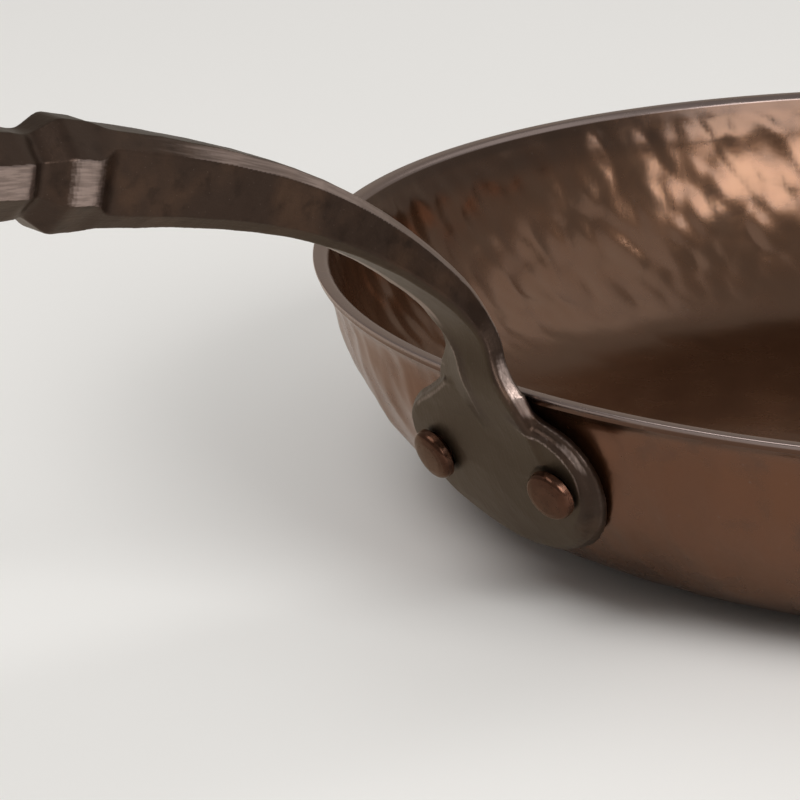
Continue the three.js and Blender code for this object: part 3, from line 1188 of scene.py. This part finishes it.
def paint_handle(piece, pan, handle, route, length):
    """Marks where the forging is ground grey and where it is worn bright, with painted shade by the rim
    and a painted shadow beside the crease, and its place along the bar.
    """
    points = get_points(piece)
    normals = get_normals(piece)
    across = points[:, 1]
    height = points[:, 2]
    nearest, above, rise = along_route(points, route)
    share = nearest / (len(route) - 1)
    sideways = normals[:, 1]
    upwards = (normals[:, ::2] * above).sum(axis=1)
    edge = outline_distance(points, plate_outline(pan, handle))
    on_plate = 1 - smooth_step(height, *PLATE_TOP)
    ear = ear_share(points, 1, RIGHT_EAR) * on_plate
    out_of_rim = np.hypot(points[:, 0], across) - pan.rim_radius - handle.fit_gap
    from_rim = np.hypot(out_of_rim, height - pan.height - handle.fit_gap)
    worn = {"left ear": ear_share(points, -1, LEFT_EAR) * window(edge, *LEFT_EAR_EDGE)}

    neck = window(share, *NECK_SHARES) * smooth_step(sideways, *NECK_TURN) * (1 - on_plate)
    neck *= smooth_step(rise, *NECK_BACK)
    # Painted shade: near the rim the worn neck is kept dark, standing for the shadow in the gap by the
    # rim
    worn["neck"] = neck * (RIM_SHADE_SHARE + (1 - RIM_SHADE_SHARE) * smooth_step(from_rim, *RIM_SHADE))
    arch = window(share, *ARCH_SHARES) * window(sideways, *ARCH_SIDE_TURN)
    arch *= 1 - ARCH_FADED_SHARE * smooth_step(share, *ARCH_FADE_SHARES)
    worn["arch"] = arch * smooth_step(upwards, *ARCH_UP_TURN)
    worn["collar"] = window(share, *COLLAR_SHARES) * smooth_step(sideways, *COLLAR_TURN)
    worn["grip"] = window(share, *GRIP_SHARES) * smooth_step(sideways, *GRIP_TURN)

    filed = window(height, *FILED_HEIGHTS) * smooth_step(across, *FILED_PLACE)
    worn["filed"] = filed * window(edge, *FILED_EDGE) * ear
    bevel = handle.ear_bevel
    ledge = window(edge, bevel - LEDGE_WIDTH, bevel, bevel, bevel + LEDGE_WIDTH)
    worn["ledge"] = ledge * window(height, *LEDGE_HEIGHTS) * ear

    from_crease = across - np.interp(share, CREASE_SHARES, CREASE_PLACES)
    on_flank = window(share, *FLANK_SHARES) * smooth_step(-upwards, *FLANK_TURN)
    worn["crease"] = window(from_crease, *CREASE_EDGE) * on_flank
    stations, width, _, flank, _, shift, _ = np.array(STATIONS).T
    far_edge = np.interp(share, stations, shift - width / 2 + flank)
    under = window(share, *UNDER_SHARES) * smooth_step(-upwards, *UNDER_TURN)
    worn["under edge"] = window(across - far_edge, *UNDER_EDGE) * under

    on_bevel = ear * (1 - smooth_step(edge, BEVEL_SHARE * bevel, bevel))
    front = smooth_step(-upwards, *FRONT_TURN) * (1 - smooth_step(share, *FRONT_SHARES)) * (1 - on_bevel)
    # Painted shadow: beside the crease the grey ground is taken away, leaving a dark band of scale
    front *= 1 - CREASE_SHADOW_SHARE * window(from_crease, *CREASE_SHADOW) * on_flank
    rubbed = [WEAR_SHARES[name] * mask for name, mask in worn.items()]
    paint(piece, "worn", np.max(rubbed, axis=0))
    paint(piece, "ground", front)
    paint(piece, "bar_place", np.stack([share * length, across, rise], axis=1))
    paint_edges(piece)


# The rivets

# Rise of a head's dome and height of its undercut, as shares of its crown, and the steps of its section
DOME_SHARE = 0.25
UNDERCUT_SHARE = 0.3
HEAD_STEPS = 10
CROWN_STEPS = 9

# The dents that flatten a head: their width in head radii, and their depth in metres
FLAT_WIDTH = 1.2
FLAT_DEPTH = 0.00015


def rivet_profile(pan, handle, rivets):
    """Radii and heights of a rivet's section, from its inner head's middle to its outer head's middle."""
    plate_face = handle.fit_gap + handle.plate
    under = plate_face + handle.fit_gap
    top = under + rivets.head_height
    inner_under = -pan.wall - handle.fit_gap
    inner_top = inner_under - rivets.inner_height
    crown = rivets.crown
    dome = DOME_SHARE * crown
    undercut = UNDERCUT_SHARE * crown
    points = []
    for radius in np.linspace(0, rivets.head_radius - crown, HEAD_STEPS):
        points.append((radius, inner_top + dome * (radius / rivets.head_radius) ** 2))
    for turn in np.linspace(0, math.pi / 2, CROWN_STEPS)[1:]:
        radius = rivets.head_radius - crown * (1 - math.sin(turn))
        points.append((radius, inner_top + dome + crown * (1 - math.cos(turn))))
    points.append((rivets.head_radius, inner_under))
    points.append((rivets.shank_radius, inner_under))
    points.append((rivets.shank_radius, under))
    points.append((rivets.head_radius - undercut, under))
    points.append((rivets.head_radius, under + undercut))
    for turn in np.linspace(0, math.pi / 2, CROWN_STEPS):
        radius = rivets.head_radius - crown * (1 - math.cos(turn))
        points.append((radius, top - dome - crown * (1 - math.sin(turn))))
    for radius in np.linspace(rivets.head_radius - crown, 0, HEAD_STEPS)[1:]:
        points.append((radius, top - dome * (radius / rivets.head_radius) ** 2))
    return points


def build_rivet(name, pan, handle, rivets, side):
    """Spins one rivet, sets it square to the wall and flattens its head a little by hammer."""
    piece = spin_profile(name, rivet_profile(pan, handle, rivets), rivets.rounds)
    points = get_points(piece)
    face = smooth_step(points[:, 2], handle.plate, handle.plate + rivets.head_height)
    group = weight(piece, "face", face)
    dent(piece, group, rivets.head_radius * FLAT_WIDTH, FLAT_DEPTH, seed=4.0 + side)
    piece.data.transform(rivet_place(pan, rivets, side))
    smooth_shade(piece)
    paint_edges(piece)
    return piece


# Shader node helpers

# Sockets of a Mix node: its factor and its two colours, or its factor and its two numbers
COLOUR_SOCKETS = (0, 6, 7)
NUMBER_SOCKETS = (0, 2, 3)


def plug(tree, socket, source):
    """Links a socket to another one, and takes anything else as its value."""
    if isinstance(source, bpy.types.NodeSocket):
        tree.links.new(source, socket)
    else:
        socket.default_value = source


def node(tree, kind, **values):
    """Adds a node and sets its properties."""
    made = tree.nodes.new(kind)
    for name, value in values.items():
        setattr(made, name, value)
    return made


def feed(tree, target, **sources):
    """Fills a node's inputs by their names."""
    for name, source in sources.items():
        plug(tree, target.inputs[name.replace("_", " ")], source)
    return target


def calculate(tree, operation, *sources, use_clamp=False):
    """A value that a Math node works out from others."""
    made = node(tree, "ShaderNodeMath", operation=operation, use_clamp=use_clamp)
    for socket, source in zip(made.inputs, sources):
        plug(tree, socket, source)
    return made.outputs[0]


def multiply(tree, first, second):
    """One value times another, kept between 0 and 1."""
    return calculate(tree, "MULTIPLY", first, second, use_clamp=True)


def noise(tree, vector, scale, detail):
    """Soft noise between 0 and 1."""
    made = feed(tree, node(tree, "ShaderNodeTexNoise"), Vector=vector, Scale=scale, Detail=detail)
    return made.outputs["Fac"]


def ramp(tree, value, low, high, start=0.0, stop=1.0):
    """An eased ramp from start to stop as a value goes from low to high."""
    made = node(tree, "ShaderNodeMapRange", interpolation_type="SMOOTHSTEP")
    feed(tree, made, Value=value, From_Min=low, From_Max=high, To_Min=start, To_Max=stop)
    return made.outputs["Result"]


def attribute(tree, name):
    """The node that reads what was painted on a piece's corners."""
    return node(tree, "ShaderNodeAttribute", attribute_name=name).outputs


def mix(tree, kind, indices, *sources):
    """A Mix node of one kind, whose numbered sockets are filled."""
    made = node(tree, "ShaderNodeMix", data_type=kind)
    for index, source in zip(indices, sources):
        plug(tree, made.inputs[index], source)
    return made.outputs


def blend_colours(tree, share, first, second):
    """The first colour at share 0, and the second at share 1."""
    return mix(tree, "RGBA", COLOUR_SOCKETS, share, first, second)[2]


def new_group(name, inputs, outputs):
    """An empty shader node group with its named sockets."""
    group = bpy.data.node_groups.new(name, "ShaderNodeTree")
    for label, kind, default in inputs:
        socket = group.interface.new_socket(name=label, in_out="INPUT", socket_type=kind)
        if default is not None:
            socket.default_value = default
    for label, kind in outputs:
        group.interface.new_socket(name=label, in_out="OUTPUT", socket_type=kind)
    start = group.nodes.new("NodeGroupInput")
    stop = group.nodes.new("NodeGroupOutput")
    return group, start.outputs, stop


# The patina's patches: how many times finer the dark ones are, the levels of noise where the warm and the
# dark ones come in, and how much the dark ones cover
FINER_PATCHES = 5.3
WARM_RANGE = (0.48, 0.68)
DARK_RANGE = (0.5, 0.75)
DARK_SHARE = 0.7

# The noise that breaks up wear on edges: its scale, and the levels where wear comes in
WEAR_SCALE = 160.0
WEAR_RANGE = (0.35, 0.6)


def mottle_group():
    """Soft patches of three colours, as heat and oil leave on steel."""
    group, given, out = new_group(
        "Mottled Patina",
        [
            ("Vector", "NodeSocketVector", None),
            ("Scale", "NodeSocketFloat", 25.0),
            ("Main", "NodeSocketColor", None),
            ("Warm", "NodeSocketColor", None),
            ("Dark", "NodeSocketColor", None),
        ],
        [("Color", "NodeSocketColor"), ("Mask", "NodeSocketFloat")],
    )
    broad = noise(group, given["Vector"], given["Scale"], detail=5.0)
    finer_scale = calculate(group, "MULTIPLY", given["Scale"], FINER_PATCHES)
    fine = noise(group, given["Vector"], finer_scale, detail=6.0)
    colour = blend_colours(group, ramp(group, broad, *WARM_RANGE), given["Main"], given["Warm"])
    dark = multiply(group, ramp(group, fine, *DARK_RANGE), DARK_SHARE)
    feed(group, out, Color=blend_colours(group, dark, colour, given["Dark"]), Mask=fine)
    return group


def speck_group():
    """Small scattered specks or pits."""
    group, given, out = new_group(
        "Specks",
        [
            ("Vector", "NodeSocketVector", None),
            ("Scale", "NodeSocketFloat", 900.0),
            ("Size", "NodeSocketFloat", 0.16),
        ],
        [("Mask", "NodeSocketFloat")],
    )
    cells = node(group, "ShaderNodeTexVoronoi")
    feed(group, cells, Vector=given["Vector"], Scale=given["Scale"])
    feed(group, out, Mask=ramp(group, cells.outputs["Distance"], given["Size"], 0.0))
    return group


def wear_group():
    """Outward edges rubbed bright, broken up as wear is."""
    group, given, out = new_group(
        "Edge Wear",
        [
            ("Vector", "NodeSocketVector", None),
            ("Edges", "NodeSocketFloat", 0.0),
            ("Low", "NodeSocketFloat", 0.05),
            ("High", "NodeSocketFloat", 0.13),
        ],
        [("Mask", "NodeSocketFloat")],
    )
    edges = ramp(group, given["Edges"], given["Low"], given["High"])
    patches = ramp(group, noise(group, given["Vector"], WEAR_SCALE, detail=5.0), *WEAR_RANGE)
    feed(group, out, Mask=multiply(group, edges, patches))
    return group


def marks_group():
    """Heights of fine marks: a rough grain, and scratches drawn out along one direction."""
    group, given, out = new_group(
        "Surface Marks",
        [
            ("Vector", "NodeSocketVector", None),
            ("Grain Scale", "NodeSocketFloat", 700.0),
            ("Scratch Stretch", "NodeSocketVector", (2500.0, 2500.0, 150.0)),
            ("Scratches", "NodeSocketFloat", 0.5),
        ],
        [("Height", "NodeSocketFloat"), ("Scratch", "NodeSocketFloat")],
    )
    grain = noise(group, given["Vector"], given["Grain Scale"], detail=6.0)
    drawn = node(group, "ShaderNodeVectorMath", operation="MULTIPLY")
    for socket, name in zip(drawn.inputs, ("Vector", "Scratch Stretch")):
        plug(group, socket, given[name])
    lines = noise(group, drawn.outputs[0], scale=1.0, detail=3.0)
    height = mix(group, "FLOAT", NUMBER_SOCKETS, given["Scratches"], grain, lines)[0]
    feed(group, out, Height=height, Scratch=lines)
    return group


def place_group(tree, group, **values):
    """Puts a node group in a material and feeds its inputs."""
    made = tree.nodes.new("ShaderNodeGroup")
    made.node_tree = group
    return feed(tree, made, **values).outputs


def new_material(name):
    """A material with its Principled BSDF and the piece's own coordinates."""
    material = bpy.data.materials.new(name)
    material.use_nodes = True
    tree = material.node_tree
    shader = tree.nodes["Principled BSDF"]
    place = tree.nodes.new("ShaderNodeTexCoord").outputs["Object"]
    return material, tree, shader, place


# Depth of the grain and scratches, in metres
BUMP_DEPTH = 0.0002


def add_bump(tree, shader, height, strength):
    """Roughens the surface by a height."""
    made = node(tree, "ShaderNodeBump")
    feed(tree, made, Height=height, Strength=strength, Distance=BUMP_DEPTH)
    feed(tree, shader, Normal=made.outputs["Normal"])


def opaque(colour):
    """A colour with full cover."""
    return (*colour, 1.0)


def tinted(colour, share):
    """A colour made darker or lighter by a share, with full cover."""
    return opaque([part * share for part in colour])


# Levels of noise between which a finish changes from one value to another
PATINA_RANGE = (0.3, 0.7)

# Depths below the pan's rim, in metres, between which each zone comes in: the rubbed rim outside and
# inside, the foot and the top of the line of painted shade under it, and the painted shade on the inside
# of the lip
RIM_OUTSIDE = (0.0012, 0.0009)
RIM_INSIDE = (0.0012, 0.0008)
SHADE_LINE_FOOT = (0.004, 0.0022)
SHADE_LINE_TOP = (0.0009, 0.0013)
LIP_SHADE_DEPTHS = (0.011, 0.0055)

# How much each zone's colour covers the pan, and how rough the patina is
SEASONED_SHARES = (0.95, 0.7)
LIP_SHADE_SHARE = 0.65
SHADE_LINE_SHARE = 0.6
PAN_SPECK_SHARE = 0.3
PAN_ROUGHNESS = (0.2, 0.3)

# The handle: how much the drawn lines break up what is worn, the levels where worn steel and the lines in
# it come in, how much edges and specks are worn, and how metal-like and rough scale and worn steel are
LINES_SHARE = 0.45
WORN_RANGE = (0.35, 1.15)
BRUSHED_RANGE = (0.38, 0.62)
BRUSHED_SHARES = (0.75, 1.0)
HANDLE_EDGE_SHARE = 0.35
HANDLE_SPECK_SHARE = 0.25
HANDLE_METALLIC = (0.85, 1.0)
HANDLE_ROUGHNESS = (0.4, 0.3)

# The rivets: how much their edges are worn, and how rough their patina is
RIVET_EDGE_SHARE = 0.5
RIVET_ROUGHNESS = (0.2, 0.28)

# Colour of each steel where it is seen at a grazing angle
PAN_GRAZING = (0.78, 0.6, 0.48)
HANDLE_GRAZING = (0.9, 0.82, 0.73)
RIVET_GRAZING = (0.86, 0.74, 0.64)

# The table: the scale of its soft patches, how much paler they are, and how rough it is
TABLE_SCALE = 3.0
TABLE_PALER = 1.01
TABLE_ROUGHNESS = 0.45


def pan_material(pan, groups):
    """Hammered steel with a bronze-brown oiled patina and a rubbed rim, and painted shade in the lip and
    under the rim.
    """
    material, tree, shader, place = new_material("hammered_steel")
    height = feed(tree, node(tree, "ShaderNodeSeparateXYZ"), Vector=place).outputs["Z"]

    def below_rim(depths):
        """Comes in between two depths below the rim."""
        return ramp(tree, height, *[pan.height - depth for depth in depths])

    patina = place_group(
        tree,
        groups["mottle"],
        Vector=place,
        Scale=20.0,
        Main=opaque(pan.bronze),
        Warm=opaque(pan.copper),
        Dark=opaque(pan.umber),
    )
    marks = place_group(tree, groups["marks"], Vector=place, Grain_Scale=500.0, Scratches=0.2)
    specks = place_group(tree, groups["specks"], Vector=place, Scale=260.0, Size=0.09)
    inner = attribute(tree, "inner_side")["Fac"]
    inside = multiply(tree, inner, ramp(tree, patina["Mask"], *PATINA_RANGE, *SEASONED_SHARES))
    # Painted shade: the lip's inside and a thin line under the rim are darkened with the lip shade colour
    lip = multiply(tree, multiply(tree, inner, below_rim(LIP_SHADE_DEPTHS)), LIP_SHADE_SHARE)
    line = multiply(tree, multiply(tree, below_rim(SHADE_LINE_FOOT), below_rim(SHADE_LINE_TOP)), SHADE_LINE_SHARE)
    rim_inside = multiply(tree, inner, below_rim(RIM_INSIDE))
    rim = calculate(tree, "MAXIMUM", below_rim(RIM_OUTSIDE), rim_inside)
    colour = patina["Color"]
    for share, cover in (
        (inside, pan.seasoned),
        (lip, pan.lip_shade_colour),
        (line, pan.lip_shade_colour),
        (rim, pan.rim_colour),
        (multiply(tree, specks["Mask"], PAN_SPECK_SHARE), pan.rim_colour),
    ):
        colour = blend_colours(tree, share, colour, opaque(cover))
    roughness = ramp(tree, patina["Mask"], *PATINA_RANGE, *PAN_ROUGHNESS)
    feed(tree, shader, Base_Color=colour, Roughness=roughness, Specular_Tint=opaque(PAN_GRAZING))
    feed(tree, shader, Metallic=0.92, Coat_Weight=0.45, Coat_Roughness=0.2)
    add_bump(tree, shader, marks["Height"], strength=0.25)
    return material


def handle_material(handle, groups):
    """Dark forge scale, ground grey on the front and worn bright on the edges."""
    material, tree, shader, place = new_material("forged_steel")
    scale = place_group(
        tree,
        groups["mottle"],
        Vector=place,
        Scale=55.0,
        Main=opaque(handle.scale_colour),
        Warm=opaque(handle.brown_colour),
        Dark=tinted(handle.scale_colour, share=0.6),
    )
    marks = place_group(
        tree,
        groups["marks"],
        Vector=attribute(tree, "bar_place")["Vector"],
        Grain_Scale=1300.0,
        Scratch_Stretch=(90.0, 1800.0, 1800.0),
        Scratches=0.45,
    )
    specks = place_group(tree, groups["specks"], Vector=place, Scale=850.0, Size=0.11)
    wear = place_group(tree, groups["wear"], Vector=place, Edges=attribute(tree, "edges")["Fac"])
    painted = attribute(tree, "worn")["Fac"]
    lined = calculate(tree, "MULTIPLY_ADD", marks["Scratch"], LINES_SHARE, painted)
    broken = ramp(tree, lined, *WORN_RANGE)
    brushed = ramp(tree, marks["Scratch"], *BRUSHED_RANGE, *BRUSHED_SHARES)
    edges = multiply(tree, wear["Mask"], HANDLE_EDGE_SHARE)
    worn = calculate(tree, "MAXIMUM", multiply(tree, broken, brushed), edges)
    colour = scale["Color"]
    for share, cover in (
        (attribute(tree, "ground")["Fac"], handle.ground_colour),
        (worn, handle.worn_colour),
        (multiply(tree, specks["Mask"], HANDLE_SPECK_SHARE), handle.worn_colour),
    ):
        colour = blend_colours(tree, share, colour, opaque(cover))
    metallic = ramp(tree, worn, 0.0, 1.0, *HANDLE_METALLIC)
    roughness = ramp(tree, worn, 0.0, 1.0, *HANDLE_ROUGHNESS)
    feed(tree, shader, Base_Color=colour, Metallic=metallic, Roughness=roughness)
    feed(tree, shader, Specular_Tint=opaque(HANDLE_GRAZING))
    add_bump(tree, shader, marks["Height"], strength=0.35)
    return material


def rivet_material(rivets, groups):
    """Smooth bronze-brown steel with rubbed edges."""
    material, tree, shader, place = new_material("rivet_steel")
    patina = place_group(
        tree,
        groups["mottle"],
        Vector=place,
        Scale=160.0,
        Main=opaque(rivets.colour),
        Warm=tinted(rivets.colour, share=1.3),
        Dark=tinted(rivets.colour, share=0.7),
    )
    marks = place_group(tree, groups["marks"], Vector=place, Grain_Scale=900.0, Scratches=0.3)
    wear = place_group(tree, groups["wear"], Vector=place, Edges=attribute(tree, "edges")["Fac"])
    rubbed = multiply(tree, wear["Mask"], RIVET_EDGE_SHARE)
    colour = blend_colours(tree, rubbed, patina["Color"], opaque(rivets.worn_colour))
    roughness = ramp(tree, patina["Mask"], *PATINA_RANGE, *RIVET_ROUGHNESS)
    feed(tree, shader, Base_Color=colour, Roughness=roughness, Specular_Tint=opaque(RIVET_GRAZING))
    feed(tree, shader, Metallic=0.95, Coat_Weight=0.06, Coat_Roughness=0.12)
    add_bump(tree, shader, marks["Height"], strength=0.12)
    return material


def floor_material(stage):
    """A plain pale table."""
    material, tree, shader, place = new_material("pale_table")
    shade = ramp(tree, noise(tree, place, TABLE_SCALE, detail=3.0), *PATINA_RANGE)
    paler = [min(1.0, part * TABLE_PALER) for part in stage.floor_colour]
    colour = blend_colours(tree, shade, opaque(stage.floor_colour), opaque(paler))
    feed(tree, shader, Base_Color=colour, Roughness=TABLE_ROUGHNESS)
    return material


# Operators


class SKILLET_OT_pan(bpy.types.Operator):
    """Spin the pan, hammer it and give it its patina"""

    bl_idname = "skillet.pan"
    bl_label = "Hammered Pan"
    bl_options = {"REGISTER", "UNDO"}

    def execute(self, context):
        scene = context.scene
        piece = build_pan(scene.skillet_pan, scene.skillet_rivets, scene.skillet_handle.fit_gap)
        material = pan_material(scene.skillet_pan, shared_groups())
        finish_piece(piece, "pan_body", material)
        return {"FINISHED"}


class SKILLET_OT_handle(bpy.types.Operator):
    """Forge the handle with its plate, collar and hanging eye"""

    bl_idname = "skillet.handle"
    bl_label = "Forged Handle"
    bl_options = {"REGISTER", "UNDO"}

    def execute(self, context):
        scene = context.scene
        piece = build_handle(scene.skillet_pan, scene.skillet_handle, scene.skillet_rivets)
        material = handle_material(scene.skillet_handle, shared_groups())
        finish_piece(piece, "handle", material)
        return {"FINISHED"}


class SKILLET_OT_rivets(bpy.types.Operator):
    """Set the two rivets"""

    bl_idname = "skillet.rivets"
    bl_label = "Rivets"
    bl_options = {"REGISTER", "UNDO"}

    def execute(self, context):
        scene = context.scene
        material = rivet_material(scene.skillet_rivets, shared_groups())
        settings = (scene.skillet_pan, scene.skillet_handle, scene.skillet_rivets)
        for side, label in ((-1, "left"), (1, "right")):
            piece = build_rivet(f"set_rivet_{label}", *settings, side)
            finish_piece(piece, f"rivet_{label}", material)
        return {"FINISHED"}


# Lamps: turn off +X and climb in degrees, distance from the pan, and width and height, all in metres
LAMPS = {
    "window": (91, 33, 2.5, (1.63, 1.2)),
    "front": (-8, 58, 4.0, (2.8, 2.2)),
    "back": (168, 42, 1.6, (1.4, 0.8)),
}
SURROUND_COLOUR = (1.0, 0.985, 0.96)


def add_lamp(name, power):
    """A soft lamp of the list, which looks at the pan."""
    turn, climb, distance, size = LAMPS[name]
    turn = math.radians(turn)
    climb = math.radians(climb)
    flat = distance * math.cos(climb)
    place = Vector((flat * math.cos(turn), flat * math.sin(turn), distance * math.sin(climb)))
    clear_selection()
    bpy.ops.object.light_add(type="AREA", location=place)
    light = bpy.context.object
    light.name = name
    light.data.shape = "RECTANGLE"
    light.data.size, light.data.size_y = size
    light.data.energy = power
    light.rotation_euler = (-place).to_track_quat("-Z", "Y").to_euler()


class SKILLET_OT_stage(bpy.types.Operator):
    """Lay the floor, and set up the lights, surroundings and camera"""

    bl_idname = "skillet.stage"
    bl_label = "Stage"
    bl_options = {"REGISTER", "UNDO"}

    def execute(self, context):
        scene = context.scene
        stage = scene.skillet_stage
        clear_selection()
        bpy.ops.mesh.primitive_plane_add(size=stage.floor_size, location=(0, 0, cad_low.z))
        floor = context.object
        floor.name = "floor"
        floor.data.materials.append(floor_material(stage))
        world = bpy.data.worlds.new("plain_surround")
        world.use_nodes = True
        scene.world = world
        background = world.node_tree.nodes["Background"]
        background.inputs["Color"].default_value = opaque(SURROUND_COLOUR)
        background.inputs["Strength"].default_value = stage.surround
        add_lamp("window", stage.window_power)
        add_lamp("front", stage.front_power)
        add_lamp("back", stage.back_power)
        bpy.ops.object.camera_add(location=stage.camera_place)
        camera = context.object
        camera.name = "camera"
        camera.rotation_euler = Vector(stage.camera_aim).to_track_quat("-Z", "Y").to_euler()
        camera.data.lens = stage.lens
        camera.data.clip_start = CLIP_START
        scene.camera = camera
        scene.view_settings.view_transform = "Standard"
        return {"FINISHED"}


class SKILLET_PT_panel(bpy.types.Panel):
    """Buttons and settings of the skillet"""

    bl_idname = "SKILLET_PT_panel"
    bl_label = "Hand-Forged Skillet"
    bl_space_type = "VIEW_3D"
    bl_region_type = "UI"
    bl_category = "Skillet"

    def draw(self, context):
        for label, settings, operator in PANEL_ROWS:
            box = self.layout.box()
            box.label(text=label)
            group = getattr(context.scene, settings)
            for name in group.__annotations__:
                box.prop(group, name)
            box.operator(operator)


PANEL_ROWS = (
    ("Pan", "skillet_pan", "skillet.pan"),
    ("Handle", "skillet_handle", "skillet.handle"),
    ("Rivets", "skillet_rivets", "skillet.rivets"),
    ("Stage", "skillet_stage", "skillet.stage"),
)

SETTINGS = {
    "skillet_pan": SkilletPanSettings,
    "skillet_handle": SkilletHandleSettings,
    "skillet_rivets": SkilletRivetSettings,
    "skillet_stage": SkilletStageSettings,
}

CLASSES = (
    *SETTINGS.values(),
    SKILLET_OT_pan,
    SKILLET_OT_handle,
    SKILLET_OT_rivets,
    SKILLET_OT_stage,
    SKILLET_PT_panel,
)

GROUP_MAKERS = {
    "mottle": mottle_group,
    "specks": speck_group,
    "wear": wear_group,
    "marks": marks_group,
}
made_groups = {}


def shared_groups():
    """The node groups that the materials share, made once."""
    if not made_groups:
        made_groups.update({name: make() for name, make in GROUP_MAKERS.items()})
    return made_groups


def register():
    """Adds the classes and the scene's settings."""
    for kind in CLASSES:
        bpy.utils.register_class(kind)
    for name, kind in SETTINGS.items():
        setattr(bpy.types.Scene, name, PointerProperty(type=kind))


def unregister():
    """Removes the scene's settings and the classes."""
    for name in SETTINGS:
        delattr(bpy.types.Scene, name)
    for kind in reversed(CLASSES):
        bpy.utils.unregister_class(kind)


def main():
    """Builds the skillet and its stage."""
    register()
    bpy.ops.skillet.pan()
    bpy.ops.skillet.handle()
    bpy.ops.skillet.rivets()
    bpy.ops.skillet.stage()


if __name__ == "__main__":
    main()
